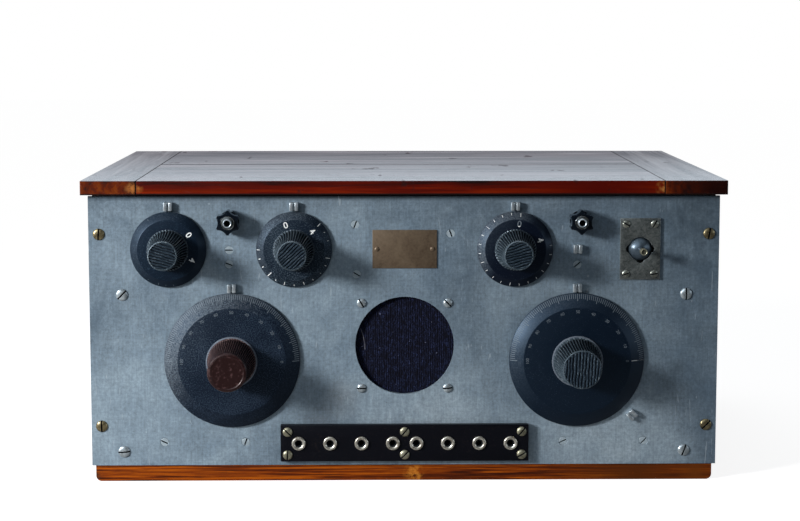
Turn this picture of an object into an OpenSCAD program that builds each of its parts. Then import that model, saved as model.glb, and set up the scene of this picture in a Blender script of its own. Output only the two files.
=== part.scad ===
// Table-top radio receiver: wooden cabinet with a hinged lid, an aluminium front
// panel with its dials, switch, terminals and sockets, and the works behind it.
// Millimetres. X to the right, Y to the back, Z up. The origin is the centre of
// the cabinet's underside. Places on the panel are measured from its centre line
// and its bottom edge.

/* [Cabinet] */
// Width of the front panel
panel_w = 457; // [450:1:475]
// Height of the front panel
panel_h = 198; // [192:1:212]
// Thickness of the front panel
panel_t = 3.2; // [2.8:0.1:4]
// How far the panel stands out past each side board
panel_overhang = 2.5; // [0.5:0.5:4]
// Depth of the cabinet behind the panel
cab_d = 272; // [262:1:300]
// Thickness of the side boards
side_t = 10; // [8:0.5:12]
// Thickness of the back board
back_t = 10; // [8:0.5:14]
// Thickness of the base board
base_t = 12; // [8:0.5:18]
// How far the base board reaches under the panel
base_nose = 2; // [0:0.5:3]
// Radius of the base board's lower long edges at its ends
base_round = 4; // [1:0.5:6]
// Thickness of the chassis board inside
chassis_t = 20; // [19:0.5:24]

/* [Lid] */
// Thickness of the lid
lid_t = 10.3; // [8:0.1:14]
// Gap between the panel's top edge and the lid
lid_gap = 1.2; // [0.5:0.1:3]
// How far the lid stands out past each end of the panel
lid_side_over = 4.8; // [2:0.2:10]
// How far the lid stands out in front of the panel
lid_front_over = 5; // [2:0.5:12]
// Width of the left end piece
lid_end_left = 40; // [30:1:55]
// Width of the right end piece
lid_end_right = 45.5; // [30:0.5:55]
// Thickness of the tongues on the lid boards
tongue_t = 3.4; // [2:0.2:4]
// Length of the tongues on the lid boards
tongue_l = 8; // [5:0.5:12]

/* [Hinges] */
// Length of a hinge
hinge_l = 50; // [36:1:70]
// Distance of each hinge's middle from the cabinet's end
hinge_in = 76; // [70:1:110]
// Thickness of a hinge leaf
leaf_t = 1.2; // [1:0.1:1.6]
// Width of a hinge leaf
leaf_w = 8; // [7:0.5:8]
// Radius of the hinge knuckle
knuckle_r = 3; // [2.6:0.1:4]
// Radius of the hinge pin
hinge_pin_r = 1.5; // [1:0.1:1.8]
// Radius of a hinge screw
hinge_screw_r = 1.2; // [1:0.1:1.5]
// Length of a hinge screw
hinge_screw_l = 7; // [5:0.5:7.5]

/* [Panel layout] */
// Distance of the outer dial column from the middle
col_outer = 170.8; // [168:0.2:176]
// Distance of the inner dial column from the middle
col_inner = 80; // [77:0.5:83]
// Distance of the upper row below the panel's top edge
top_row_drop = 38.6; // [36:0.2:40]
// Height of the tuning row above the panel's bottom edge
low_row = 78; // [76:0.5:80]
// Height of the terminals above the upper row
terminal_rise = 20.5; // [19:0.5:23]

/* [Small dials] */
// Radius of a small dial
small_dial_r = 27.5; // [25:0.5:29]
// Width of a small dial's bevel
small_bevel = 5.5; // [3:0.5:8]
// Thickness of a small dial
small_dial_t = 5; // [4:0.5:7]
// Radius of a small knob at its foot
small_knob_r = 15; // [13:0.5:17]
// Radius of a small knob at its top
small_cap_r = 10.6; // [9:0.1:12]
// Height of a small knob above its dial
small_knob_h = 30; // [22:0.5:36]
// Number of flutes round a small knob
small_flutes = 40; // [24:1:60]

/* [Tuning dials] */
// Radius of a tuning dial
tuning_dial_r = 49.3; // [46:0.1:51]
// Width of a tuning dial's bevel
tuning_bevel = 10.3; // [6:0.1:14]
// Thickness of a tuning dial
tuning_dial_t = 6; // [5:0.5:8]
// Radius of a tuning knob's flange
tuning_flange_r = 18.6; // [17.5:0.1:22]
// Thickness of a tuning knob's flange
tuning_flange_t = 1.4; // [1:0.1:2.5]
// Radius of a tuning knob's grip at its foot
tuning_grip_r = 17; // [15:0.1:17.4]
// Radius of a tuning knob at its top
tuning_cap_r = 14; // [12:0.1:14.8]
// Height of the left tuning knob above its dial
left_knob_h = 38; // [26:0.5:42]
// Height of the right tuning knob above its dial
right_knob_h = 31; // [24:0.5:42]
// Number of flutes round a tuning knob
tuning_flutes = 52; // [30:1:70]

/* [Dial details] */
// Thickness of a dial at its rim
dial_edge = 1.2; // [0.8:0.1:2]
// Gap between the panel and the dials
dial_gap = 1; // [0.6:0.1:2]
// Depth of the flutes
flute_depth = 0.7; // [0.3:0.1:1]
// Radius of the dial shafts
shaft_r = 3; // [2.5:0.1:3.5]
// Length of each shaft inside its knob
shaft_in_knob = 16; // [10:0.5:18]

/* [Index blocks] */
// Width and height of an index block
index_w = 6.2; // [4:0.1:7]
// How far an index block stands out
index_t = 4; // [3:0.1:6]
// Width of the slot in an index block
index_slot = 1.3; // [0.8:0.1:2]
// Gap between an index block and the dial below it
index_gap = 0.6; // [0.3:0.1:1.5]
// Distance of the turned block from the right tuning dial's centre
turned_index_r = 58; // [56:0.5:60]
// Radius of the pin on the back of an index block
index_pin_r = 1.2; // [0.8:0.1:1.5]

/* [Terminals] */
// Radius of a terminal's star nut at its points
star_r = 8.9; // [8:0.1:10]
// Height of a star nut
star_h = 10; // [8:0.5:12]
// Radius of the hollows between the points
star_hollow_r = 7; // [6:0.1:8]
// Depth of the hollows between the points
star_hollow_depth = 1.9; // [1:0.1:2.2]
// Outer radius of the ring in a star nut
nut_ring_r = 4.95; // [4.5:0.05:5.2]
// Wall of the ring's front rim
nut_rim = 0.6; // [0.4:0.05:0.9]
// Outer radius of a terminal stud
stud_r = 3.25; // [3:0.05:3.5]
// How far a terminal stud stands out of the panel
stud_out = 16; // [15:0.5:20]
// How far a terminal stud reaches behind the panel
stud_back = 16; // [10:0.5:24]
// Radius of a terminal's insulating collar
collar_r = 7.4; // [6.6:0.1:8]
// Thickness of a terminal's insulating collar
collar_t = 2; // [1.5:0.1:3]

/* [Sockets] */
// Radius of a plug hole
plug_r = 2; // [1.5:0.05:2.2]
// Depth of a plug hole
plug_depth = 14; // [10:0.5:14.5]
// Distance between the sockets of a pair
socket_pitch = 22.9; // [20:0.1:23.5]
// Distance between the two middle sockets
socket_mid = 17.2; // [14:0.1:19]
// Radius of a socket's flange
socket_flange_r = 5.1; // [4.6:0.1:5.6]
// Thickness of a socket's flange
socket_flange_t = 1.6; // [1:0.1:2.5]
// Outer radius of a socket's barrel
socket_r = 3; // [2.8:0.1:3.4]
// How far a socket reaches behind the panel
socket_back = 11; // [9:0.5:16]
// Width of the socket strip
strip_w = 181; // [179:0.5:190]
// Height of the socket strip
strip_h = 27; // [25:0.2:30]
// Thickness of the socket strip
strip_t = 5; // [4:0.2:7]
// Height of the strip's centre above the panel's bottom edge
strip_z = 17.2; // [16.6:0.2:20]
// Distance of the strip screws from the strip's ends
strip_screw_in = 5.1; // [4.6:0.1:5.6]
// Distance of the strip screws from the strip's centre line
strip_screw_z = 8.5; // [8.3:0.1:9]

/* [Switch] */
// Width of the switch plate
switch_w = 29.1; // [28:0.1:31]
// Height of the switch plate
switch_h = 44.8; // [43:0.2:48]
// Thickness of the switch plate
switch_t = 1.6; // [1.2:0.1:2]
// Radius of the lever's ball
ball_r = 9.5; // [9:0.1:9.8]
// Distance of the lever's pivot behind the panel's face
pivot_back = 4.5; // [4.4:0.1:4.8]
// How far the lever stands out of the panel
lever_out = 19.5; // [15:0.5:24]
// Radius of the lever
lever_r = 1.9; // [1.4:0.1:2.2]
// Radius of the lever's tip
tip_r = 2.45; // [2.3:0.05:2.9]
// Length of the lever's tip
tip_l = 6; // [4:0.2:7]
// Radius of the lobes of the cut-out
lobe_r = 3.2; // [2.8:0.1:3.6]
// Distance of the lobes from the cut-out's centre
lobe_at = 7.2; // [6.8:0.1:7.4]

/* [Grille and plate] */
// Radius of the grille opening
grille_r = 36; // [33:0.5:37]
// Height of the grille's centre above the panel's bottom edge
grille_z = 88.4; // [86:0.2:91]
// Distance of the grille screws from the centre, sideways and upwards
grille_screw_at = 31.4; // [31.2:0.1:32.4]
// Width of the brass plate
plate_w = 46.7; // [40:0.1:52]
// Height of the brass plate
plate_h = 28; // [24:0.2:32]
// Thickness of the brass plate
plate_t = 0.8; // [0.5:0.1:1.5]
// Distance of the rivets from the plate's ends
rivet_in = 3.2; // [2.4:0.1:4]

/* [Fasteners] */
// Head radius of the brass wood screws
wood_head_r = 4.3; // [3.6:0.1:4.8]
// Head radius of the steel round-head screws
bracket_head_r = 4.4; // [3.8:0.1:5]
// Head radius of the screws filed flush
flush_head_r = 3.3; // [2.8:0.1:3.8]
// Head radius of the strip screws
strip_head_r = 3.6; // [3:0.1:4.2]
// Head radius of the grille screws
grille_head_r = 3.5; // [3:0.1:4.2]
// Head radius of the switch plate screws
switch_head_r = 2.9; // [2.4:0.1:3.2]
// Height of the domed screw heads
dome_h = 1.7; // [1.2:0.1:2.2]
// Radius of the screw shanks
shank_r = 1.5; // [1.2:0.05:1.6]
// Width of the screw slots
slot_w = 0.9; // [0.6:0.1:1.2]

/* [Works] */
// Radius of a rotor plate
rotor_r = 34; // [28:0.5:35]
// Number of rotor plates in a tuning condenser
rotor_plates = 7; // [4:1:8]
// Distance from plate to plate
plate_pitch = 5; // [4:0.1:5.4]
// Thickness of the condenser plates
vane_t = 0.8; // [0.5:0.1:1.2]
// Distance of a condenser frame behind the panel
cond_standoff = 8; // [6:0.5:12]
// Radius of a rheostat's former
former_r = 21; // [18:0.5:22]
// Thickness of a rheostat's former
former_t = 6; // [4:0.5:8]
// Depth of the wall that carries the winding
former_wall = 8; // [6:0.5:12]
// Radius of a valve bulb
bulb_r = 21; // [17:0.5:22]
// Height of a valve bulb
bulb_h = 68; // [55:1:75]
// Distance between valves
valve_pitch = 90; // [80:1:96]
// Distance from the middle valves' row to the back board
valve_in = 47; // [40:1:52]
// Height of a tuning coil
coil_h = 74; // [50:1:80]
// Radius of a tuning coil
coil_r = 27; // [20:0.5:30]

/* [Fits] */
// Radial clearance of parts that stand still in their holes
still_gap = 0.1; // [0.05:0.01:0.2]
// Radial clearance of parts that turn
turn_gap = 0.05; // [0.02:0.01:0.08]

/* [Hidden] */
$fn = 48;
over = 1;

cab_w = panel_w - 2 * panel_overhang;
inner_x = cab_w / 2 - side_t;
base_d = cab_d + base_nose;
cab_back = base_d / 2;
panel_back = cab_back - cab_d;
panel_front = panel_back - panel_t;
inner_back = cab_back - back_t;
lid_z = base_t + panel_h + lid_gap;
chassis_top = base_t + chassis_t;
top_row = panel_h - top_row_drop;
terminal_row = top_row + terminal_rise;

lid_w = panel_w + 2 * lid_side_over;
lid_front = panel_front - lid_front_over;
lid_d = cab_back - lid_front;
lid_mid = lid_front + lid_d / 2;
board_left = -lid_w / 2 + lid_end_left;
board_right = lid_w / 2 - lid_end_right;

hinge_x = cab_w / 2 - hinge_in;
hinge_y = cab_back + knuckle_r + 0.2;
knuckle_gap = 0.3;
knuckle_l = hinge_l / 3;

col_mid = (col_outer + col_inner) / 2;
small_x = [-col_outer, -col_inner, col_inner];
// How far each small dial is turned at rest, anticlockwise as seen from the front
small_rest = [-63.5, 19, -10.3];
tuning_x = [-col_mid, col_mid];
dial_shaft_gap = still_gap;
small_face = dial_gap + small_dial_t;
tuning_face = dial_gap + tuning_dial_t;
shaft_hole_r = shaft_r + 1.2;
collar_foot_r = 5;
terminal_x = [-col_mid - 1.6, col_mid + 1.6];

index_above = index_gap + index_w / 2;
index_at = [
    for (x = small_x) [x, top_row + small_dial_r + index_above, 0],
    for (x = tuning_x) [x, low_row + tuning_dial_r + index_above, 0],
    [col_mid, top_row, 0],
    [col_mid + turned_index_r * cos(45), low_row - turned_index_r * sin(45), 45]
];

wood_screw_x = cab_w / 2 - side_t / 2;
wood_screw_z = [29.2, panel_h - 27.6];
wood_screw_l = 20;
bracket_x = inner_x - 11;
bracket_w = 14;
bracket_t = 2.5;
bracket_foot = 46;
bracket_screw_low = 10.2;
bracket_screw_high = 126.2;
foot_screw_y = [16, 38];
board_screw_l = 16;
flush_cone = 2;
flush_foot = [-175.4, -116.2, 116.2, 175.4];
flush_foot_z = chassis_t - 2.8;
ring_t = 4;
ring_r = 50;
flush_upper = [
    [-col_mid - 1.6, top_row - 0.7], [-col_mid - 1.8, top_row - 11], [-35.8, top_row + 17.9],
    [-34.8, grille_z + ring_r + 2.5], [33.4, top_row + 11.3], [col_mid, top_row - 11.6]
];
// How far the screws' slots are turned from level: left then right, each from below
wood_screw_turn = [[90, 0], [45, 80]];
steel_screw_turn = [[5, 45], [70, 90]];
grille_screw_turn = [[0, 120], [5, 135]];
switch_screw_turn = [[20, 150], [10, 60]];
strip_screw_turn = [[85, 135], [45, 50], [30, 50]];
flush_foot_turn = [155, 70, 25, 45];
flush_upper_turn = [0, 160, 70, 150, 110, 40];
nut_r = 3.2;
nut_h = 2.2;

strip_cut_h = 2 * (strip_screw_z - shank_r - 0.5);
strip_cut_w = 2 * (socket_mid / 2 + 3 * socket_pitch + 5.4);
socket_x = [
    for (side = [-1, 1], n = [0:3]) side * (socket_mid / 2 + n * socket_pitch)
];
socket_nut_r = 4.9;
socket_slot = 2 * (socket_r + 1.5);
strip_front = strip_t + socket_flange_t;

switch_screw_x = switch_w / 2 - 4.3;
switch_screw_z = switch_h / 2 - 4.2;
switch_dome_h = 1.2;
switch_cut_x = 12.8;
switch_cut_z = switch_screw_z - shank_r - 1;
core_r = sqrt(pow(ball_r, 2) - pow(pivot_back, 2)) + 0.3;
yoke_in = ball_r + 0.35;
yoke_out = 12.1;
yoke_t = 2.4;
yoke_pin_r = 1.4;
frame_t = 2;
lug_in = 13;
strap_x = 14;
strap_t = 1.6;
switch_depth = 36;
tail_l = ball_r + 13;
tail_r = 2;
lever_throw = 14;

cloth_r = grille_r + 4.6;
cloth_t = 1;
case_d = 34;

cond_wall = 1.6;
rotor_hub_r = 6;
stator_gap = 4.4;
cond_l = plate_pitch * (rotor_plates + 2);
cond_front = panel_t + cond_standoff;
cond_half_x = 43.5;
cond_half_z = 45;
pillar_r = 2.5;
stator_rod_x = 38.6;
stator_rod_r = 1.8;
stator_bush_r = 3.5;
stator_rod_z = 15;

winding_t = 2;
wiper_z = panel_t + former_t + former_wall + winding_t + 0.3;
wiper_w = 5;
wiper_t = 1.2;
small_limit = 140;
stop_r = 1.5;
stop_at = former_r - 3;
stop_angle = small_limit + asin((wiper_w / 2 + stop_r) / stop_at) + 0.5;
holder_h = 14;
holder_r = 20;
valve_base_r = 16.5;
valve_base_h = 28;
valve_pin_at = 7;
valve_pin_r = 1.6;
valve_lift = 0.3;
valve_y = inner_back - valve_in;
valve_x = [for (n = [-1.5:1:1.5]) n * valve_pitch];
row_gap = 76;
transformer_y = valve_y - row_gap;
transformer_x = [-42, 42];
core_w = 50;
core_d = 22;
core_h = 46;
limb_w = 13;
window_w = 10.5;
yoke_bar = (core_w - limb_w - 2 * window_w) / 2;
coil_out = 22;
coil_x = [-col_mid - coil_out, col_mid + coil_out];
coil_y = transformer_y;
wire_r = 0.8;
wire_rise = 8;
pack_h = 9;
pack_w = 22;
pack_l = 28;
pack_post_h = 2;

aluminium_colour = "#8a9cad";
wood_colour = "#7a3517";
lid_colour = "#5b2116";
ebonite_colour = "#23272d";
nickel_colour = "#b9bcbd";
brass_colour = "#a98c54";

// Stands children on the panel's face, their +Z towards the viewer
module on_panel(x, z) {
    translate([x, panel_front, base_t + z]) rotate([90, 0, 0]) children();
}

// Hole of radius r through the panel
module through(r) {
    translate([0, 0, -panel_t - over]) cylinder(r = r, h = panel_t + 2 * over);
}

module tube(r_out, r_in, h) {
    difference() {
        cylinder(r = r_out, h = h);
        translate([0, 0, -over]) cylinder(r = r_in, h = h + 2 * over);
    }
}

// Cap of a sphere with a flat base of radius r
module dome(r, h) {
    ball = (r * r + h * h) / (2 * h);
    intersection() {
        translate([0, 0, h - ball]) sphere(r = ball);
        translate([-r - over, -r - over, 0]) cube([2 * (r + over), 2 * (r + over), h + over]);
    }
}

module round_head_screw(head_r, head_h, length, turn) {
    difference() {
        dome(head_r, head_h);
        rotate([0, 0, turn]) translate([-head_r - over, -slot_w / 2, head_h * 0.4])
            cube([2 * (head_r + over), slot_w, head_h]);
    }
    translate([0, 0, -length]) cylinder(r = shank_r, h = length + 0.1);
}

module flush_screw(length, turn) {
    difference() {
        union() {
            translate([0, 0, -flush_cone]) cylinder(r1 = shank_r, r2 = flush_head_r, h = flush_cone);
            translate([0, 0, -length]) cylinder(r = shank_r, h = length - flush_cone + 0.1);
        }
        rotate([0, 0, turn]) translate([-flush_head_r - over, -slot_w / 2, -0.8])
            cube([2 * (flush_head_r + over), slot_w, over + 0.8]);
    }
}

// Seat that a countersunk head lies in
module countersink(head_r, cone_h) {
    translate([0, 0, -cone_h]) cylinder(r1 = shank_r, r2 = head_r, h = cone_h);
}

module hex_nut() {
    difference() {
        cylinder(r = nut_r, h = nut_h, $fn = 6);
        translate([0, 0, -over]) cylinder(r = shank_r + still_gap, h = nut_h + 2 * over);
    }
}

// Holes in the wood behind the panel for the screws that go into it
module side_board_holes() {
    for (x = [-wood_screw_x, wood_screw_x], z = wood_screw_z)
        on_panel(x, z) translate([0, 0, -wood_screw_l - over])
            cylinder(r = shank_r + still_gap, h = wood_screw_l + 2 * over);
}

module chassis_holes() {
    for (x = [-bracket_x, bracket_x])
        on_panel(x, bracket_screw_low) translate([0, 0, -board_screw_l - over])
            cylinder(r = shank_r + still_gap, h = board_screw_l + 2 * over);
    for (x = flush_foot)
        on_panel(x, flush_foot_z) translate([0, 0, -board_screw_l - over])
            cylinder(r = shank_r + still_gap, h = board_screw_l + 2 * over);
    for (x = [-bracket_x, bracket_x], y = foot_screw_y)
        translate([x, panel_back + y, chassis_top - 9]) cylinder(r = shank_r + still_gap, h = 9 + over);
}

// Board seen from the front with its lower corners rounded
module base_board() {
    color(wood_colour) translate([0, cab_back, 0]) rotate([90, 0, 0])
        linear_extrude(base_d) union() {
            translate([-cab_w / 2, base_round]) square([cab_w, base_t - base_round]);
            translate([-cab_w / 2 + base_round, 0]) square([cab_w - 2 * base_round, base_t]);
            for (x = [-1, 1]) translate([x * (cab_w / 2 - base_round), base_round]) circle(r = base_round);
        }
}

module side_boards() {
    color(wood_colour) difference() {
        for (x = [-cab_w / 2, inner_x]) translate([x, panel_back, base_t])
            cube([side_t, cab_d, lid_z - base_t]);
        side_board_holes();
    }
}

module back_board() {
    color(wood_colour) difference() {
        translate([-inner_x, inner_back, base_t]) cube([2 * inner_x, back_t, lid_z - base_t]);
        for (x = [-hinge_x, hinge_x]) {
            translate([x - hinge_l / 2 - still_gap, cab_back - leaf_w - still_gap, lid_z - leaf_t])
                cube([hinge_l + 2 * still_gap, leaf_w + over, leaf_t + over]);
            for (side = [-1, 1]) translate([x + side * hinge_l / 3, cab_back - leaf_w / 2, lid_z - hinge_screw_l])
                cylinder(r = hinge_screw_r + still_gap, h = hinge_screw_l + over);
        }
    }
}

module chassis_board() {
    color("#a9835a") difference() {
        translate([-inner_x, panel_back, base_t]) cube([2 * inner_x, inner_back - panel_back, chassis_t]);
        for (x = socket_x) translate([x - socket_slot / 2, panel_back - over, base_t + strip_z - socket_slot / 2])
            cube([socket_slot, socket_back + 3 + over, chassis_t]);
        chassis_holes();
    }
}

// Two angle irons that tie the panel to the chassis board
module panel_brackets() {
    rise = base_t + bracket_screw_high + 8 - chassis_top;
    color("#6d7278") difference() {
        for (x = [-bracket_x, bracket_x]) translate([x, panel_back, chassis_top]) {
            translate([-bracket_w / 2, 0, 0]) cube([bracket_w, bracket_t, rise]);
            translate([-bracket_w / 2, 0, 0]) cube([bracket_w, bracket_foot, bracket_t]);
            translate([x > 0 ? bracket_w / 2 - bracket_t : -bracket_w / 2, 0, 0])
                rotate([90, 0, 90]) linear_extrude(bracket_t) polygon([
                    [0, 0], [bracket_foot, 0], [bracket_foot, bracket_t], [bracket_t, rise - 16],
                    [0, rise - 16]
                ]);
        }
        for (x = [-bracket_x, bracket_x]) {
            on_panel(x, bracket_screw_high) translate([0, 0, -panel_t - bracket_t - over])
                cylinder(r = shank_r + still_gap, h = bracket_t + 2 * over);
            for (y = foot_screw_y) translate([x, panel_back + y, chassis_top - over])
                cylinder(r = shank_r + still_gap, h = bracket_t + 2 * over);
        }
    }
}

module front_panel() {
    color(aluminium_colour) difference() {
        translate([-panel_w / 2, panel_front, base_t]) cube([panel_w, panel_t, panel_h]);
        for (x = small_x) on_panel(x, top_row) through(shaft_hole_r);
        for (x = tuning_x) on_panel(x, low_row) through(shaft_hole_r);
        for (x = terminal_x) on_panel(x, terminal_row) through(collar_foot_r + still_gap);
        for (at = index_at) on_panel(at[0], at[1]) through(index_pin_r + still_gap);
        on_panel(0, grille_z) through(grille_r);
        for (x = [-1, 1], z = [-1, 1])
            on_panel(x * grille_screw_at, grille_z + z * grille_screw_at) through(shank_r + still_gap);
        for (x = [-1, 1]) on_panel(x * (plate_w / 2 - rivet_in), top_row) through(shank_r - 0.3);
        on_panel(0, strip_z) translate([-strip_cut_w / 2, -strip_cut_h / 2, -panel_t - over])
            cube([strip_cut_w, strip_cut_h, panel_t + 2 * over]);
        for (x = [-1, 0, 1], z = [-1, 1])
            on_panel(x * (strip_w / 2 - strip_screw_in), strip_z + z * strip_screw_z) through(shank_r + still_gap);
        on_panel(col_outer, top_row) {
            translate([-switch_cut_x, -switch_cut_z, -panel_t - over])
                cube([2 * switch_cut_x, 2 * switch_cut_z, panel_t + 2 * over]);
            for (x = [-1, 1], z = [-1, 1])
                translate([x * switch_screw_x, z * switch_screw_z, 0]) through(shank_r + still_gap);
        }
        for (x = [-wood_screw_x, wood_screw_x], z = wood_screw_z) on_panel(x, z) {
            countersink(wood_head_r - 0.4, 2.4);
            through(shank_r + still_gap);
        }
        for (x = [-bracket_x, bracket_x], z = [bracket_screw_low, bracket_screw_high])
            on_panel(x, z) through(shank_r + still_gap);
        for (x = flush_foot) on_panel(x, flush_foot_z) {
            countersink(flush_head_r, flush_cone);
            through(shank_r + still_gap);
        }
        for (at = flush_upper) on_panel(at[0], at[1]) {
            countersink(flush_head_r, flush_cone);
            through(shank_r + still_gap);
        }
    }
}

// Raised heads over a cone, in brass
module panel_wood_screws() {
    color(brass_colour) for (side = [0, 1], row = [0, 1]) on_panel((2 * side - 1) * wood_screw_x, wood_screw_z[row]) {
        round_head_screw(wood_head_r, dome_h, wood_screw_l, wood_screw_turn[side][row]);
        translate([0, 0, -2.4]) cylinder(r1 = shank_r, r2 = wood_head_r - 0.4, h = 2.4);
    }
}

module panel_steel_screws() {
    color("#9aa3ab") {
        for (side = [0, 1]) {
            x = (2 * side - 1) * bracket_x;
            on_panel(x, bracket_screw_low)
                round_head_screw(bracket_head_r, dome_h, board_screw_l, steel_screw_turn[side][0]);
            on_panel(x, bracket_screw_high) {
                round_head_screw(bracket_head_r, dome_h, panel_t + bracket_t + nut_h + 1, steel_screw_turn[side][1]);
                translate([0, 0, -panel_t - bracket_t - nut_h]) hex_nut();
            }
            for (y = foot_screw_y) translate([x, panel_back + y, chassis_top + bracket_t])
                round_head_screw(2.8, 1.2, bracket_t + 8, 20);
        }
        for (k = [0:3]) on_panel(flush_foot[k], flush_foot_z) flush_screw(board_screw_l, flush_foot_turn[k]);
        for (k = [0:5]) on_panel(flush_upper[k][0], flush_upper[k][1]) {
            flush_screw(panel_t + nut_h + 1.5, flush_upper_turn[k]);
            translate([0, 0, -panel_t - nut_h]) hex_nut();
        }
    }
}

// Half of the lid's long boards, with a tongue at each end
module lid_board(y_low, y_high) {
    translate([board_left, y_low, lid_z]) cube([board_right - board_left, y_high - y_low, lid_t]);
    translate([board_left - tongue_l, y_low + 6, lid_z + (lid_t - tongue_t) / 2])
        cube([board_right - board_left + 2 * tongue_l, y_high - y_low - 12, tongue_t]);
}

// Mortises and screw holes for the hinge leaves in the lid's underside
module lid_hinge_seats() {
    for (x = [-hinge_x, hinge_x]) {
        translate([x - hinge_l / 2 - still_gap, cab_back - leaf_w - still_gap, lid_z - over])
            cube([hinge_l + 2 * still_gap, leaf_w + 2 * over, leaf_t + over]);
        translate([x, cab_back - leaf_w / 2, lid_z - over])
            cylinder(r = hinge_screw_r + still_gap, h = hinge_screw_l + over);
    }
}

// Screw pointing down with its head in the top of the leaf, or the cut for it
module hinge_screw(cut) {
    head_h = leaf_t * 0.75;
    gap = cut ? still_gap : 0;
    translate([0, 0, -head_h]) cylinder(r1 = hinge_screw_r, r2 = hinge_screw_r + head_h, h = head_h);
    translate([0, 0, -hinge_screw_l]) cylinder(r = hinge_screw_r + gap, h = hinge_screw_l - head_h + 0.01);
}

module lid_boards() {
    color(lid_colour) difference() {
        union() {
            lid_board(lid_front, lid_mid - 0.1);
            lid_board(lid_mid + 0.1, cab_back);
        }
        lid_hinge_seats();
    }
}

module lid_ends() {
    groove_t = tongue_t + 2 * still_gap;
    color(lid_colour) difference() {
        union() {
            translate([-lid_w / 2, lid_front, lid_z]) cube([lid_end_left, lid_d, lid_t]);
            translate([board_right, lid_front, lid_z]) cube([lid_end_right, lid_d, lid_t]);
        }
        translate([board_left - tongue_l - 0.5, lid_front + 6 - still_gap, lid_z + (lid_t - groove_t) / 2])
            cube([board_right - board_left + 2 * tongue_l + 1, lid_d - 12 + 2 * still_gap, groove_t]);
    }
}

// One knuckle along X, from x_low to x_high, with its hole
module knuckle(x_low, x_high, hole_r) {
    translate([x_low, hinge_y, lid_z]) rotate([0, 90, 0]) tube(knuckle_r, hole_r, x_high - x_low);
}

// Strap from the leaf's edge to the knuckle, on one side of the joint
module hinge_strap(x_low, x_high, z_low, hole_r) {
    difference() {
        translate([x_low, cab_back - over, z_low]) cube([x_high - x_low, hinge_y - cab_back + over, leaf_t]);
        translate([x_low - over, hinge_y, lid_z]) rotate([0, 90, 0]) cylinder(r = hole_r, h = x_high - x_low + 2 * over);
    }
}

module cabinet_hinges() {
    hole_r = hinge_pin_r + turn_gap;
    color(brass_colour) for (x = [-hinge_x, hinge_x]) {
        low = x - hinge_l / 2;
        difference() {
            union() {
                translate([low, cab_back - leaf_w, lid_z - leaf_t]) cube([hinge_l, leaf_w, leaf_t]);
                for (start = [low, low + hinge_l - knuckle_l]) {
                    hinge_strap(start, start + knuckle_l, lid_z - leaf_t, hole_r);
                    knuckle(start, start + knuckle_l, hole_r);
                }
            }
            for (side = [-1, 1]) translate([x + side * hinge_l / 3, cab_back - leaf_w / 2, lid_z]) hinge_screw(true);
        }
        for (side = [-1, 1]) translate([x + side * hinge_l / 3, cab_back - leaf_w / 2, lid_z]) hinge_screw(false);
        translate([low - 0.6, hinge_y, lid_z]) rotate([0, 90, 0]) cylinder(r = hinge_pin_r, h = hinge_l + 1.2);
        for (end = [low - 1.8, low + hinge_l + 0.2]) translate([end, hinge_y, lid_z])
            rotate([0, 90, 0]) cylinder(r = hinge_pin_r + 0.7, h = 1.6);
    }
}

module lid_hinges() {
    hole_r = hinge_pin_r + turn_gap;
    color(brass_colour) for (x = [-hinge_x, hinge_x]) {
        low = x - knuckle_l / 2 + knuckle_gap;
        high = x + knuckle_l / 2 - knuckle_gap;
        difference() {
            union() {
                translate([x - hinge_l / 2, cab_back - leaf_w, lid_z]) cube([hinge_l, leaf_w, leaf_t]);
                hinge_strap(low, high, lid_z, hole_r);
                knuckle(low, high, hole_r);
            }
            translate([x, cab_back - leaf_w / 2, lid_z]) mirror([0, 0, 1]) hinge_screw(true);
        }
        translate([x, cab_back - leaf_w / 2, lid_z]) mirror([0, 0, 1]) hinge_screw(false);
    }
}

// Slotted blocks that mark the dials' readings
module index_blocks() {
    color(nickel_colour) for (at = index_at) on_panel(at[0], at[1]) rotate([0, 0, at[2]]) {
        difference() {
            translate([-index_w / 2, -index_w / 2, 0]) cube([index_w, index_w, index_t]);
            translate([-index_slot / 2, -index_w / 2 - over, index_t * 0.35])
                cube([index_slot, index_w + 2 * over, index_t]);
        }
        translate([0, 0, -panel_t]) cylinder(r = index_pin_r, h = panel_t + 0.1);
    }
}

module name_plate() {
    color(brass_colour) on_panel(0, top_row) difference() {
        translate([-plate_w / 2, -plate_h / 2, 0]) cube([plate_w, plate_h, plate_t]);
        for (x = [-1, 1]) translate([x * (plate_w / 2 - rivet_in), 0, -over])
            cylinder(r = shank_r - 0.3, h = plate_t + 2 * over);
    }
}

module plate_rivets() {
    color(brass_colour) for (x = [-1, 1]) on_panel(x * (plate_w / 2 - rivet_in), top_row) {
        translate([0, 0, plate_t]) dome(shank_r + 0.3, 0.7);
        translate([0, 0, -panel_t]) cylinder(r = shank_r - 0.3 - still_gap, h = panel_t + plate_t + 0.1);
    }
}

module grille_screws() {
    color(nickel_colour) for (side = [0, 1], row = [0, 1])
        on_panel((2 * side - 1) * grille_screw_at, grille_z + (2 * row - 1) * grille_screw_at) {
            round_head_screw(grille_head_r, dome_h, panel_t + ring_t + nut_h + 1, grille_screw_turn[side][row]);
            translate([0, 0, -panel_t - ring_t - nut_h]) hex_nut();
        }
}

module grille_cloth() {
    color("#14171f") on_panel(0, grille_z) translate([0, 0, -panel_t - cloth_t])
        cylinder(r = cloth_r - still_gap, h = cloth_t, $fn = 64);
}

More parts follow.
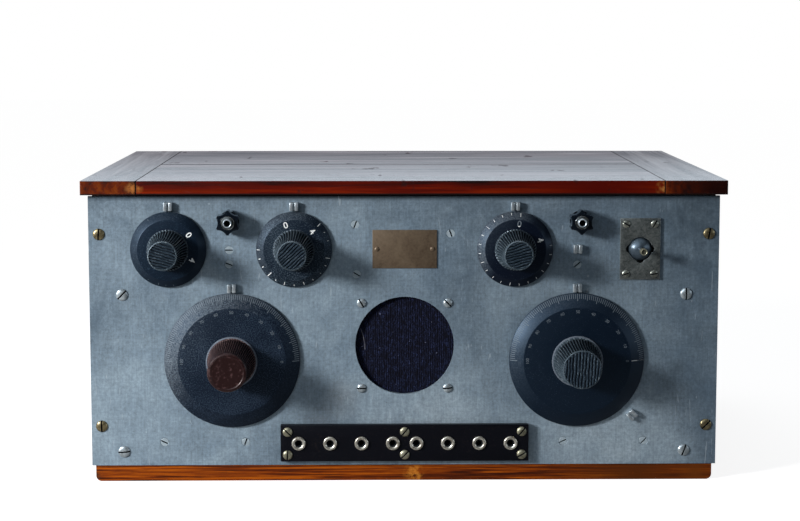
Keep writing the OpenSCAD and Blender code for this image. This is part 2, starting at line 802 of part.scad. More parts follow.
// Clamps the cloth against the panel's back
module speaker_ring() {
    color(ebonite_colour) on_panel(0, grille_z) difference() {
        translate([0, 0, -panel_t - ring_t]) cylinder(r = ring_r, h = ring_t, $fn = 64);
        translate([0, 0, -panel_t - ring_t - over]) cylinder(r = grille_r, h = ring_t + 2 * over);
        translate([0, 0, -panel_t - cloth_t]) cylinder(r = cloth_r, h = cloth_t + over);
        for (x = [-1, 1], z = [-1, 1])
            translate([x * grille_screw_at, z * grille_screw_at, -panel_t - ring_t - over])
                cylinder(r = shank_r + still_gap, h = ring_t + 2 * over);
    }
}

module speaker_case() {
    neck_r = 17;
    back = -panel_t - ring_t;
    color("#3a3d41") on_panel(0, grille_z) rotate_extrude() polygon([
        [0, back - case_d - 12], [neck_r - 1, back - case_d - 12], [neck_r, back - case_d - 11],
        [neck_r, back - case_d + 4], [grille_r, back - 5], [grille_r + 3, back - 4],
        [grille_r + 3, back], [0, back]
    ]);
}

module socket_strip() {
    color(ebonite_colour) on_panel(0, strip_z) difference() {
        translate([-strip_w / 2, -strip_h / 2, 0]) cube([strip_w, strip_h, strip_t]);
        for (x = socket_x) translate([x, 0, -over]) cylinder(r = socket_r + still_gap, h = strip_t + 2 * over);
        for (x = [-1, 0, 1], z = [-1, 1])
            translate([x * (strip_w / 2 - strip_screw_in), z * strip_screw_z, -over])
                cylinder(r = shank_r + still_gap, h = strip_t + 2 * over);
    }
}

module strip_screws() {
    color("#bdb083") for (col = [0:2], row = [0, 1])
        on_panel((col - 1) * (strip_w / 2 - strip_screw_in), strip_z + (2 * row - 1) * strip_screw_z)
            translate([0, 0, strip_t])
                round_head_screw(strip_head_r, dome_h, strip_t + panel_t, strip_screw_turn[col][row]);
}

// Plug sockets: barrel, dished flange and the nut behind the strip
module sockets() {
    color(nickel_colour) for (x = socket_x) on_panel(x, strip_z) {
        rotate_extrude() polygon([
            [plug_r, strip_front - plug_depth], [plug_r, strip_front - 0.6],
            [plug_r + 1.4, strip_front], [socket_flange_r - 0.5, strip_front],
            [socket_flange_r, strip_front - 0.6], [socket_flange_r, strip_t], [socket_r, strip_t],
            [socket_r, -panel_t - socket_back], [0, -panel_t - socket_back],
            [0, strip_front - plug_depth]
        ]);
        translate([0, 0, -nut_h]) difference() {
            cylinder(r = socket_nut_r, h = nut_h, $fn = 6);
            translate([0, 0, -over]) cylinder(r = socket_r + still_gap, h = nut_h + 2 * over);
        }
    }
}

// Plate with a core hole for the ball and a lobe for each position of the lever
module switch_plate() {
    color("#6f7476") on_panel(col_outer, top_row) difference() {
        translate([-switch_w / 2, -switch_h / 2, 0]) cube([switch_w, switch_h, switch_t]);
        translate([0, 0, -over]) {
            cylinder(r = core_r, h = switch_t + 2 * over);
            for (a = [0, 180, 270]) rotate([0, 0, a]) translate([lobe_at, 0, 0])
                cylinder(r = lobe_r, h = switch_t + 2 * over);
        }
        for (x = [-1, 1], z = [-1, 1]) translate([x * switch_screw_x, z * switch_screw_z, -over])
            cylinder(r = shank_r + still_gap, h = switch_t + 2 * over);
    }
}

module switch_plate_screws() {
    color("#8b8f90") for (side = [0, 1], row = [0, 1])
        on_panel(col_outer + (2 * side - 1) * switch_screw_x, top_row + (2 * row - 1) * switch_screw_z) {
            translate([0, 0, switch_t]) round_head_screw(
                switch_head_r, switch_dome_h, switch_t + panel_t + frame_t + nut_h + 0.8, switch_screw_turn[side][row]
            );
            translate([0, 0, -panel_t - frame_t - nut_h]) hex_nut();
        }
}

// Flange behind the panel, two lugs for the yoke and two straps to the contact block
module switch_frame() {
    flange_back = -panel_t - frame_t;
    color("#85898c") on_panel(col_outer, top_row) contact_block(flange_back - switch_depth);
    color("#85898c") on_panel(col_outer, top_row) difference() {
        union() {
            difference() {
                translate([-switch_w / 2 - 1.5, -switch_h / 2, flange_back])
                    cube([switch_w + 3, switch_h, frame_t]);
                translate([-switch_cut_x, -lug_in, flange_back - over])
                    cube([2 * switch_cut_x, 2 * lug_in, frame_t + 2 * over]);
            }
            for (side = [-1, 1]) translate([-4, side > 0 ? lug_in : -switch_cut_z + 0.3, -pivot_back - 4])
                cube([8, switch_cut_z - 0.3 - lug_in, 7]);
            for (side = [-1, 1])
                translate([side > 0 ? strap_x : -strap_x - strap_t, -6, flange_back - switch_depth])
                    cube([strap_t, 12, switch_depth + frame_t]);
        }
        translate([0, switch_h / 2 + over, -pivot_back]) rotate([90, 0, 0])
            cylinder(r = yoke_pin_r + turn_gap, h = switch_h + 2 * over);
        for (x = [-1, 1], z = [-1, 1]) translate([x * switch_screw_x, z * switch_screw_z, flange_back - over])
            cylinder(r = shank_r + still_gap, h = frame_t + 2 * over);
    }
}

// Insulating block between the straps with its three leaf springs
module contact_block(back) {
    block_t = 5;
    spring_t = 0.6;
    spring_l = 12;
    spring_at = tail_l * sin(lever_throw) + tail_r + 0.4;
    translate([-strap_x, -14, back]) cube([2 * strap_x, 28, block_t]);
    for (a = [0, 90, 180]) rotate([0, 0, a]) translate([spring_at, -4, back + block_t])
        cube([spring_t, 8, spring_l]);
}

module switch_yoke() {
    color(nickel_colour) on_panel(col_outer, top_row) translate([0, 0, -pivot_back]) difference() {
        union() {
            translate([0, 0, -yoke_t / 2]) tube(yoke_out, yoke_in, yoke_t);
            for (side = [-1, 1]) rotate([side * -90, 0, 0]) translate([0, 0, yoke_out - 0.8])
                cylinder(r = yoke_pin_r, h = switch_cut_z - yoke_out + 0.2);
        }
        rotate([0, 90, 0]) translate([0, 0, -yoke_out - over])
            cylinder(r = 1 + turn_gap, h = 2 * (yoke_out + over));
    }
}

// Ball on its cross pin, the stem in front and the tail behind
module switch_lever() {
    color(nickel_colour) on_panel(col_outer, top_row) translate([0, 0, -pivot_back]) {
        sphere(r = ball_r);
        rotate([0, 90, 0]) translate([0, 0, -yoke_out]) cylinder(r = 1, h = 2 * yoke_out);
        cylinder(r = lever_r, h = pivot_back + lever_out - tip_l);
        translate([0, 0, -tail_l]) cylinder(r = tail_r, h = tail_l);
    }
}

// Brass tip with a dished end
module lever_tip() {
    color("#b59a5e") on_panel(col_outer, top_row) translate([0, 0, lever_out - tip_l]) difference() {
        cylinder(r = tip_r, h = tip_l);
        translate([0, 0, tip_l - 0.8]) cylinder(r1 = tip_r * 0.55, r2 = tip_r * 0.72, h = 0.8 + 0.01);
    }
}

// Insulating bush through the panel and the washer behind it
module terminal_collars() {
    color(ebonite_colour) for (x = terminal_x) on_panel(x, terminal_row) {
        tube(collar_r, stud_r + still_gap, collar_t);
        translate([0, 0, -panel_t]) tube(collar_foot_r, stud_r + still_gap, panel_t + 0.1);
        translate([0, 0, -panel_t - collar_t]) tube(collar_r, stud_r + still_gap, collar_t);
    }
}

module terminal_studs() {
    color(nickel_colour) for (x = terminal_x) on_panel(x, terminal_row) {
        rotate_extrude() polygon([
            [0, -panel_t - stud_back], [stud_r, -panel_t - stud_back], [stud_r, stud_out - 0.5],
            [stud_r - 0.5, stud_out], [plug_r + 0.5, stud_out], [plug_r, stud_out - 0.5],
            [plug_r, stud_out - plug_depth], [0, stud_out - plug_depth]
        ]);
        translate([0, 0, -panel_t - collar_t - nut_h]) difference() {
            cylinder(r = stud_r + 2.4, h = nut_h, $fn = 6);
            translate([0, 0, -over]) cylinder(r = stud_r + still_gap, h = nut_h + 2 * over);
        }
    }
}

// Six points with hollow sides between them
module terminal_nut(x) {
    foot = collar_t + 0.3;
    color(ebonite_colour) on_panel(x, terminal_row) translate([0, 0, foot]) difference() {
        cylinder(r = star_r, h = star_h);
        for (a = [0:60:300]) rotate([0, 0, a]) translate([star_r - star_hollow_depth + star_hollow_r, 0, -over])
            cylinder(r = star_hollow_r, h = star_h + 2 * over);
        translate([0, 0, -over]) cylinder(r = nut_ring_r + still_gap, h = star_h + 2 * over);
    }
}

module terminal_ring(x) {
    foot = collar_t + 0.3;
    bore = stud_r + turn_gap;
    color(nickel_colour) on_panel(x, terminal_row) translate([0, 0, foot]) rotate_extrude() polygon([
        [bore, 0], [nut_ring_r, 0], [nut_ring_r, star_h + 0.8], [nut_ring_r - nut_rim, star_h + 0.8],
        [nut_ring_r - nut_rim, star_h - 1.5], [bore, star_h - 1.5]
    ]);
}

module small_dial(n) {
    color(ebonite_colour) on_panel(small_x[n], top_row) rotate_extrude($fn = 96) polygon([
        [shaft_r + still_gap, dial_gap], [small_dial_r, dial_gap], [small_dial_r, dial_gap + dial_edge],
        [small_dial_r - small_bevel, small_face], [shaft_r + still_gap, small_face]
    ]);
}

module tuning_dial(n) {
    color(ebonite_colour) on_panel(tuning_x[n], low_row) rotate_extrude($fn = 120) polygon([
        [shaft_r + still_gap, dial_gap], [tuning_dial_r, dial_gap], [tuning_dial_r, dial_gap + dial_edge],
        [tuning_dial_r - tuning_bevel, tuning_face], [shaft_r + still_gap, tuning_face]
    ]);
}

// Tapered grip with square flutes, from radius r_foot to r_top
module fluted_grip(r_foot, r_top, h, flutes) {
    linear_extrude(height = h, scale = r_top / r_foot) polygon([
        for (k = [0:4 * flutes - 1]) let (
            a = 90 * k / flutes,
            r = (k % 4 < 2) ? r_foot : r_foot - flute_depth
        ) [r * cos(a), r * sin(a)]
    ]);
}

// Hole for the shaft in the underside of a knob
module knob_bore() {
    translate([0, 0, -over]) cylinder(r = shaft_r + still_gap, h = shaft_in_knob + over + 0.2);
}

module small_knob(n) {
    flare_h = small_knob_h * 0.3;
    waist_r = small_cap_r + (small_knob_r - small_cap_r) * 0.3;
    color(ebonite_colour) on_panel(small_x[n], top_row) translate([0, 0, small_face])
        rotate([0, 0, small_rest[n]]) difference() {
            union() {
                fluted_grip(small_knob_r, waist_r, flare_h, small_flutes);
                translate([0, 0, flare_h]) fluted_grip(waist_r, small_cap_r, small_knob_h - flare_h - 1.5, small_flutes);
                translate([0, 0, small_knob_h - 1.5]) cylinder(r1 = small_cap_r - 0.8, r2 = small_cap_r - 2.5, h = 1.5);
            }
            knob_bore();
        }
}

module tuning_knob(n, knob_h) {
    color(n == 0 ? "#4a1d18" : ebonite_colour) on_panel(tuning_x[n], low_row) translate([0, 0, tuning_face])
        difference() {
            union() {
                cylinder(r = tuning_flange_r, h = tuning_flange_t);
                translate([0, 0, tuning_flange_t])
                    fluted_grip(tuning_grip_r, tuning_cap_r, knob_h - tuning_flange_t - 1.5, tuning_flutes);
                translate([0, 0, knob_h - 1.5]) cylinder(r1 = tuning_cap_r - 0.8, r2 = tuning_cap_r - 2, h = 1.5);
            }
            knob_bore();
        }
}

// Shaft from the knob through the former, with the wiper arm at its inner end
module small_spindle(n) {
    color("#9c8a5a") on_panel(small_x[n], top_row) rotate([0, 0, small_rest[n]]) {
        translate([0, 0, -wiper_z - 4]) cylinder(r = shaft_r, h = wiper_z + 4 + small_face + shaft_in_knob);
        translate([0, 0, -wiper_z - 2]) cylinder(r = 6.5, h = 2);
        translate([-wiper_w / 2, 0, -wiper_z - wiper_t]) cube([wiper_w, former_r - 1, wiper_t]);
    }
}

// Disc with a bearing, a wall for the winding and two posts that stop the wiper
module rheostat_formers() {
    bore = shaft_r + turn_gap;
    wall_back = panel_t + former_t + former_wall;
    color("#3b2a22") for (x = small_x) on_panel(x, top_row) difference() {
        union() {
            translate([0, 0, -panel_t - former_t]) cylinder(r = former_r, h = former_t);
            translate([0, 0, -wall_back]) tube(former_r, former_r - 6, former_wall + 0.1);
            translate([0, 0, -wall_back]) cylinder(r = 7, h = former_wall + 0.1);
            for (side = [-1, 1]) rotate([0, 0, side * stop_angle]) translate([0, stop_at, -wiper_z - 2.5])
                cylinder(r = stop_r, h = wiper_z + 2.5 - wall_back + 0.1);
        }
        translate([0, 0, -wall_back - over]) cylinder(r = bore, h = wall_back - panel_t + 2 * over);
    }
}

module rheostat_windings() {
    gap_x = stop_at * sin(180 - stop_angle) + stop_r + 0.4;
    wall_back = panel_t + former_t + former_wall;
    color("#7d5f3a") for (x = small_x) on_panel(x, top_row) difference() {
        translate([0, 0, -wall_back - winding_t]) tube(former_r - 0.4, former_r - 5.6, winding_t);
        translate([-gap_x, -former_r, -wall_back - winding_t - over])
            cube([2 * gap_x, former_r - 7, winding_t + 2 * over]);
    }
}

// End plate of a condenser with its bearing
module condenser_plate(z, bush) {
    translate([0, 0, z]) difference() {
        union() {
            translate([-cond_half_x, -cond_half_z, 0]) cube([2 * cond_half_x, 2 * cond_half_z, cond_wall]);
            translate([0, 0, bush]) cylinder(r = 6.5, h = 5);
        }
        translate([0, 0, -6]) cylinder(r = shaft_r + turn_gap, h = 12);
        for (side = [-1, 1]) translate([-stator_rod_x, side * stator_rod_z, -over])
            cylinder(r = stator_bush_r + still_gap, h = cond_wall + 2 * over);
    }
}

module condenser_frames() {
    color("#a3a8ac") for (x = tuning_x) on_panel(x, low_row) {
        condenser_plate(-cond_front - cond_wall, 0);
        condenser_plate(-cond_front - 2 * cond_wall - cond_l, -5 + cond_wall);
        for (sx = [-1, 1], sz = [-1, 1]) translate([sx * (cond_half_x - 4), sz * (cond_half_z - 4), 0]) {
            translate([0, 0, -cond_front - cond_wall - cond_l]) cylinder(r = pillar_r, h = cond_l);
            translate([0, 0, -cond_front]) cylinder(r = pillar_r + 0.5, h = cond_standoff);
        }
    }
}

// Half-round plates with ears, on two rods that insulating bushes hold
module condenser_stators() {
    color("#c2c6c9") for (x = tuning_x) on_panel(x, low_row) {
        for (k = [0:rotor_plates]) translate([0, 0, -cond_front - cond_wall - plate_pitch * (k + 1)])
            linear_extrude(vane_t) difference() {
                union() {
                    intersection() {
                        circle(r = rotor_r + 1.5);
                        translate([-rotor_r - 2, -rotor_r - 2]) square([rotor_r + 2, 2 * rotor_r + 4]);
                    }
                    for (side = [-1, 1]) translate([-stator_rod_x - 2.6, side * stator_rod_z - 3])
                        square([12, 6]);
                }
                circle(r = rotor_hub_r + stator_gap);
            }
        for (side = [-1, 1]) translate([-stator_rod_x, side * stator_rod_z, -cond_front - 2 * cond_wall - cond_l]) {
            translate([0, 0, -1.5]) cylinder(r = stator_rod_r, h = cond_l + 2 * cond_wall + 3);
            cylinder(r = stator_bush_r, h = cond_wall);
            translate([0, 0, cond_l + cond_wall]) cylinder(r = stator_bush_r, h = cond_wall);
        }
    }
}

// Shaft with its half-round plates, half in mesh at rest
module tuning_rotor(n) {
    color("#c9ccce") on_panel(tuning_x[n], low_row) {
        translate([0, 0, -cond_front - 2 * cond_wall - cond_l - 6])
            cylinder(r = shaft_r, h = cond_front + 2 * cond_wall + cond_l + 6 + tuning_face + shaft_in_knob);
        translate([0, 0, -cond_front - cond_wall - cond_l + 1]) cylinder(r = rotor_hub_r, h = cond_l - 2);
        for (k = [0:rotor_plates - 1])
            translate([0, 0, -cond_front - cond_wall - plate_pitch * (k + 1.5)]) linear_extrude(vane_t)
                intersection() {
                    circle(r = rotor_r);
                    translate([-rotor_r - 1, -rotor_r - 1]) square([2 * rotor_r + 2, rotor_r + 1]);
                }
    }
}

// Holders screwed to the chassis and the valves' own bases standing in them
module valve_bases() {
    color(ebonite_colour) for (x = valve_x) translate([x, valve_y, chassis_top]) {
        cylinder(r = holder_r, h = holder_h);
        translate([0, 0, holder_h + valve_lift]) cylinder(r = valve_base_r, h = valve_base_h);
        for (a = [45:90:315]) rotate([0, 0, a]) translate([valve_pin_at, 0, holder_h]) cylinder(r = valve_pin_r, h = valve_lift);
    }
}

// Pear-shaped bulbs: a swelling neck below the widest height, an elliptic crown above
module valve_bulbs() {
    neck = valve_base_r - 2;
    widest = 0.45;
    steps = 14;
    function bulb_at(t) = (t < widest)
        ? neck + (bulb_r - neck) * sin(90 * t / widest)
        : bulb_r * sqrt(max(0, 1 - pow((t - widest) / (1 - widest), 2)));
    color("#9fb0b8", 0.6) for (x = valve_x)
        translate([x, valve_y, chassis_top + holder_h + valve_lift + valve_base_h]) rotate_extrude() polygon([
            [0, 0],
            for (k = [0:steps - 1]) [bulb_at(k / steps), bulb_h * k / steps],
            [bulb_at(0.98), bulb_h * 0.98], [0, bulb_h]
        ]);
}

// Laminated core with two windows
module transformer_cores() {
    color("#55585c") for (x = transformer_x) translate([x, transformer_y, chassis_top]) difference() {
        translate([-core_w / 2, -core_d / 2, 0]) cube([core_w, core_d, core_h]);
        for (side = [-1, 1]) translate([side * (limb_w + window_w) / 2 - window_w / 2, -core_d / 2 - over, yoke_bar])
            cube([window_w, core_d + 2 * over, core_h - 2 * yoke_bar]);
    }
}

module transformer_windings() {
    fill = window_w - 1;
    reach = core_d / 2 + fill;
    color("#6b3f1f") for (x = transformer_x) translate([x, transformer_y, chassis_top + yoke_bar + 0.4]) difference() {
        translate([-limb_w / 2 - fill, -reach, 0])
            cube([limb_w + 2 * fill, 2 * reach, core_h - 2 * yoke_bar - 0.8]);
        translate([-limb_w / 2 - still_gap, -core_d / 2 - still_gap, -over])
            cube([limb_w + 2 * still_gap, core_d + 2 * still_gap, core_h]);
    }
}

// Standing formers, each with its winding as a raised band
module tuning_coils() {
    color("#8a5a2c") for (x = coil_x) translate([x, coil_y, chassis_top]) difference() {
        union() {
            cylinder(r = coil_r, h = coil_h);
            translate([0, 0, coil_h * 0.2]) cylinder(r = coil_r + 1.2, h = coil_h * 0.3);
            translate([0, 0, coil_h * 0.58]) cylinder(r = coil_r + 1.2, h = coil_h * 0.28);
        }
        translate([0, 0, -over]) cylinder(r = coil_r - 2.4, h = coil_h + 2 * over);
    }
}

module fixed_condensers() {
    color("#4a2f20") for (n = [-1:1:1]) translate([n * valve_pitch, valve_y - 6, chassis_top]) {
        translate([-pack_w / 2, -pack_l / 2, 0]) cube([pack_w, pack_l, pack_h]);
        for (side = [-1, 1]) translate([0, side * (pack_l / 2 - 5), pack_h]) cylinder(r = 2.4, h = pack_post_h);
    }
}

// Round wire along straight runs, square at both ends
module wire(points) {
    for (k = [0:len(points) - 2]) {
        run = points[k + 1] - points[k];
        translate(points[k]) rotate([0, acos(run[2] / norm(run)), atan2(run[1], run[0])])
            cylinder(r = wire_r, h = norm(run), $fn = 16);
    }
    for (k = [1:1:len(points) - 2]) translate(points[k]) sphere(r = wire_r, $fn = 16);
}

module bus_wires() {
    stud_z = base_t + terminal_row;
    coil_front = coil_y - coil_r + 1.2;
    coil_rear = coil_y + coil_r - 1.2;
    coil_top = chassis_top + coil_h;
    core_top = chassis_top + core_h;
    holder_top = chassis_top + holder_h;
    holder_y = valve_y - (holder_r + valve_base_r) / 2;
    clear_y = valve_y - bulb_r - 3;
    clear_z = holder_top + 12;
    pack_top = chassis_top + pack_h + pack_post_h;
    pack_y = valve_y - 6 - (pack_l / 2 - 5);
    pack_clear = valve_y - 6 - pack_l / 2 - 12;
    color("#b8babb") {
        for (side = [-1, 1]) {
            stud_x = side * (col_mid + 1.6);
            coil_mid = side * (col_mid + coil_out);
            inner_valve = side * valve_pitch / 2;
            outer_valve = side * 1.5 * valve_pitch;
            wire([
                [stud_x, panel_back + stud_back, stud_z], [stud_x, coil_front, stud_z],
                [stud_x, coil_front, coil_top + wire_rise], [coil_mid, coil_front, coil_top + wire_rise],
                [coil_mid, coil_front, coil_top]
            ]);
            wire([
                [inner_valve, transformer_y + 4, core_top], [inner_valve, transformer_y + 4, core_top + wire_rise],
                [inner_valve, clear_y, core_top + wire_rise], [inner_valve, clear_y, clear_z],
                [inner_valve, holder_y, clear_z], [inner_valve, holder_y, holder_top]
            ]);
            wire([
                [coil_mid, coil_rear, coil_top], [coil_mid, coil_rear, coil_top + 6],
                [outer_valve, coil_rear, coil_top + 6], [outer_valve, clear_y, coil_top + 6],
                [outer_valve, clear_y, clear_z], [outer_valve, holder_y, clear_z],
                [outer_valve, holder_y, holder_top]
            ]);
        }
        wire([
            [-valve_pitch, pack_y, pack_top], [-valve_pitch, pack_y, pack_top + 6],
            [-valve_pitch, pack_clear, pack_top + 6], [valve_pitch, pack_clear, pack_top + 6],
            [valve_pitch, pack_y, pack_top + 6], [valve_pitch, pack_y, pack_top]
        ]);
        wire([
            [0, pack_clear, pack_top + 6], [0, pack_y, pack_top + 6], [0, pack_y, pack_top]
        ]);
    }
}

base_board();
side_boards();
back_board();
chassis_board();
front_panel();
lid_boards();
lid_ends();
cabinet_hinges();
lid_hinges();
panel_wood_screws();
panel_steel_screws();
panel_brackets();
grille_screws();
grille_cloth();
speaker_ring();
speaker_case();
name_plate();
plate_rivets();
socket_strip();
strip_screws();
sockets();
switch_plate();
switch_plate_screws();
switch_frame();
switch_yoke();
switch_lever();
lever_tip();
index_blocks();
terminal_collars();
terminal_studs();
terminal_nut(terminal_x[0]);  // terminal_nut_left
terminal_nut(terminal_x[1]);  // terminal_nut_right
terminal_ring(terminal_x[0]);  // terminal_ring_left
terminal_ring(terminal_x[1]);  // terminal_ring_right
valve_bases();
valve_bulbs();
transformer_cores();
transformer_windings();
tuning_coils();
fixed_condensers();
bus_wires();
condenser_frames();
condenser_stators();
rheostat_formers();
rheostat_windings();
small_dial(0);  // small_dial_1
small_dial(1);  // small_dial_2
small_dial(2);  // small_dial_3
small_knob(0);  // small_knob_1
small_knob(1);  // small_knob_2
small_knob(2);  // small_knob_3
small_spindle(0);  // small_spindle_1
small_spindle(1);  // small_spindle_2
small_spindle(2);  // small_spindle_3
tuning_dial(0);  // tuning_dial_left
tuning_dial(1);  // tuning_dial_right
tuning_knob(0, left_knob_h);  // tuning_knob_left
tuning_knob(1, right_knob_h);  // tuning_knob_right
tuning_rotor(0);  // tuning_rotor_left
tuning_rotor(1);  // tuning_rotor_right
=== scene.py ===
import math

import bpy
from mathutils import Matrix, Vector


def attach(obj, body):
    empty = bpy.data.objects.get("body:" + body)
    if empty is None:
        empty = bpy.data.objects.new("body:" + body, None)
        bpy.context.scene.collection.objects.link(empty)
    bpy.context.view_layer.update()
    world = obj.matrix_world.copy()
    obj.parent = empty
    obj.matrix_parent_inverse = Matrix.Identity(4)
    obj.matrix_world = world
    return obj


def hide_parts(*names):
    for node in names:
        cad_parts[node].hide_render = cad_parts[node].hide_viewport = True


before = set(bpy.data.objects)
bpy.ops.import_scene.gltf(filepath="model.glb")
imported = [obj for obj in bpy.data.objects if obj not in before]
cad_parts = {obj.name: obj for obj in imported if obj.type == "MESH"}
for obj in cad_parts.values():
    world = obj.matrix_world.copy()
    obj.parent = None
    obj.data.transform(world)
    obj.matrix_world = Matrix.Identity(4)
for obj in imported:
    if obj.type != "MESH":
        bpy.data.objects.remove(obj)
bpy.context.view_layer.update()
mm = 0.001
print("frame loaded")

# where things sit on the front panel, in millimetres
panel = {"face": -138.2, "bottom": 12}
smallDials = {
    "radius": 27.5, "bevel": 5.5, "thick": 5, "gap": 1, "edge": 1.2,
    "places": [(-170.8, 159.4), (-80, 159.4), (80, 159.4)],
    "turns": [-63.5, 19, -10.3],
}
tuningDials = {
    "radius": 49.3, "bevel": 10.3, "thick": 6, "gap": 1, "edge": 1.2,
    "places": [(-125.4, 78), (125.4, 78)],
}
screwNut = {"radius": 3.2, "bore": 1.55, "high": 2.2}
mergeWithin = 0.000002


# ---- small helpers for making pieces, sizes in millimetres

def mode(kind):
    bpy.ops.object.mode_set(mode=kind)


def clear():
    if bpy.context.object and bpy.context.object.mode != "OBJECT":
        mode("OBJECT")
    bpy.ops.object.select_all(action="DESELECT")


def pick(*pieces):
    clear()
    for piece in pieces:
        piece.select_set(True)
    bpy.context.view_layer.objects.active = pieces[0]


def named(name):
    piece = bpy.context.object
    piece.name = piece.data.name = name
    return piece


def fresh(name, scale=(1, 1, 1)):
    # names the new primitive and puts its place and scale into its mesh
    piece = named(name)
    piece.scale = scale
    bpy.ops.object.transform_apply(location=True, rotation=True, scale=True)
    return piece


def choose(piece, test):
    # opens a piece in edit mode with the vertices selected that pass the test
    pick(piece)
    mode("EDIT")
    bpy.ops.mesh.select_mode(type="VERT")
    bpy.ops.mesh.select_all(action="DESELECT")
    mode("OBJECT")
    for v in piece.data.vertices:
        v.select = test(v.co)
    mode("EDIT")


def lift(piece, test, height):
    choose(piece, test)
    bpy.ops.transform.translate(value=(0, 0, height * mm))
    mode("OBJECT")


def squeeze(piece, test, factors):
    choose(piece, test)
    bpy.ops.transform.resize(value=factors, center_override=(0, 0, 0))
    mode("OBJECT")


def closeUp(piece):
    # merges doubles and turns every face outwards
    pick(piece)
    mode("EDIT")
    bpy.ops.mesh.select_all(action="SELECT")
    bpy.ops.mesh.remove_doubles(threshold=mergeWithin)
    bpy.ops.mesh.normals_make_consistent(inside=False)
    mode("OBJECT")


def smooth(piece, angle):
    pick(piece)
    bpy.ops.object.shade_smooth_by_angle(angle=math.radians(angle))


def modify(piece, kind, **settings):
    made = piece.modifiers.new(kind.title(), kind)
    for key, value in settings.items():
        setattr(made, key, value)


def applyAll(piece):
    pick(piece)
    for m in list(piece.modifiers):
        bpy.ops.object.modifier_apply(modifier=m.name)


def bevel(piece, width, segments, angle):
    modify(piece, "BEVEL", width=width * mm, segments=segments, limit_method="ANGLE",
           angle_limit=math.radians(angle))


def roundEdges(piece, width, segments=2, angle=40):
    bevel(piece, width, segments, angle)
    applyAll(piece)


def cut(piece, cutter, how="DIFFERENCE"):
    modify(piece, "BOOLEAN", operation=how, solver="EXACT", object=cutter)
    applyAll(piece)
    bpy.data.objects.remove(cutter)


def join(name, pieces):
    pick(*pieces)
    if len(pieces) > 1:
        bpy.ops.object.join()
    return named(name)


def copyOf(piece, name):
    twin = piece.copy()
    twin.data = piece.data.copy()
    bpy.context.collection.objects.link(twin)
    twin.name = name
    return twin


def settle(piece, place):
    # moves a piece by a matrix and leaves its object at the origin
    piece.matrix_world = place @ piece.matrix_world
    pick(piece)
    bpy.ops.object.transform_apply(location=True, rotation=True, scale=True)
    return piece


def shift(x, y, z):
    return Matrix.Translation((x * mm, y * mm, z * mm))


def spin(angle, axis="Z"):
    return Matrix.Rotation(math.radians(angle), 4, axis)


def onPanel(x, z, out=0, turn=0):
    # a place on the panel's face: +Z of the piece towards the viewer, +Y up
    return shift(x, panel["face"] - out, panel["bottom"] + z) @ spin(90, "X") @ spin(turn)


def polar(radius, angle):
    return radius * math.cos(math.radians(angle)), radius * math.sin(math.radians(angle))


def block(name, wide, long, low, high):
    # a box centred on Z
    clear()
    bpy.ops.mesh.primitive_cube_add(size=1, location=(0, 0, (low + high) / 2 * mm))
    return fresh(name, (wide * mm, long * mm, (high - low) * mm))


def rod(name, radius, low, high, sides=32, at=(0, 0)):
    clear()
    bpy.ops.mesh.primitive_cylinder_add(
        vertices=sides, radius=radius * mm, depth=(high - low) * mm,
        location=(at[0] * mm, at[1] * mm, (low + high) / 2 * mm)
    )
    return fresh(name)


def turned(name, rings, sides, soft=0, loop=False):
    # a lathe-turned piece about Z from rings of (radius, height); loop closes the last ring on the first
    clear()
    r, h = rings[0]
    bpy.ops.mesh.primitive_circle_add(vertices=sides, radius=r * mm, location=(0, 0, h * mm), fill_type="NOTHING")
    piece = fresh(name)
    mode("EDIT")
    bpy.ops.mesh.select_all(action="SELECT")
    if not loop:
        bpy.ops.mesh.edge_face_add()
        bpy.ops.mesh.select_all(action="SELECT")
    for newR, newH in rings[1:] + (rings[:1] if loop else []):
        bpy.ops.mesh.extrude_region_move(TRANSFORM_OT_translate={"value": (0, 0, (newH - h) * mm)})
        if abs(newR - r) > 1e-6:
            bpy.ops.transform.resize(value=(newR / r, newR / r, 1), center_override=(0, 0, newH * mm))
        r, h = newR, newH
    mode("OBJECT")
    closeUp(piece)
    if soft:
        smooth(piece, soft)
    return piece


# ---- helpers for materials

class Field:
    # an output in a node tree; arithmetic with it adds Math nodes
    def __init__(self, socket):
        self.socket, self.tree = socket, socket.id_data

    def math(self, operation, other=0.5, clamp=False):
        return add(self.tree, "Math", (self, other), operation=operation, use_clamp=clamp)

    def __add__(self, other):
        return self.math("ADD", other)

    def __sub__(self, other):
        return self.math("SUBTRACT", other)

    def __rsub__(self, other):
        return add(self.tree, "Math", (other, self), operation="SUBTRACT")

    def __mul__(self, other):
        return self.math("MULTIPLY", other)

    def __abs__(self):
        return self.math("ABSOLUTE")


def feed(socket, value):
    # links a field to a socket, or sets the socket's own value
    if isinstance(value, Field):
        value.tree.links.new(value.socket, socket)
    else:
        socket.default_value = (*value, 1) if socket.type == "RGBA" and len(value) == 3 else value


def add(tree, kind, inputs=(), output=0, **settings):
    node = tree.nodes.new("ShaderNode" + kind)
    for key, value in settings.items():
        setattr(node, key, value)
    for key, value in inputs.items() if isinstance(inputs, dict) else enumerate(inputs):
        feed(node.inputs[key], value)
    return Field(node.outputs[output])


def coord(tree, kind="Object"):
    return add(tree, "TexCoord", output=kind)


def most(a, b):
    return a.math("MAXIMUM", b)


def ramp(value, low, high, outLow=0.0, outHigh=1.0):
    return add(value.tree, "MapRange", (value, low, high, outLow, outHigh))


def blend(share, a, b, how="MIX"):
    tree = next(v.tree for v in (share, a, b) if isinstance(v, Field))
    return add(tree, "Mix", {0: share, 6: a, 7: b}, 2, data_type="RGBA", blend_type=how)


def scaled(vector, factors):
    return add(vector.tree, "VectorMath", (vector, factors), operation="MULTIPLY")


def distance(vector, point):
    return add(vector.tree, "VectorMath", (vector, point), "Value", operation="DISTANCE")


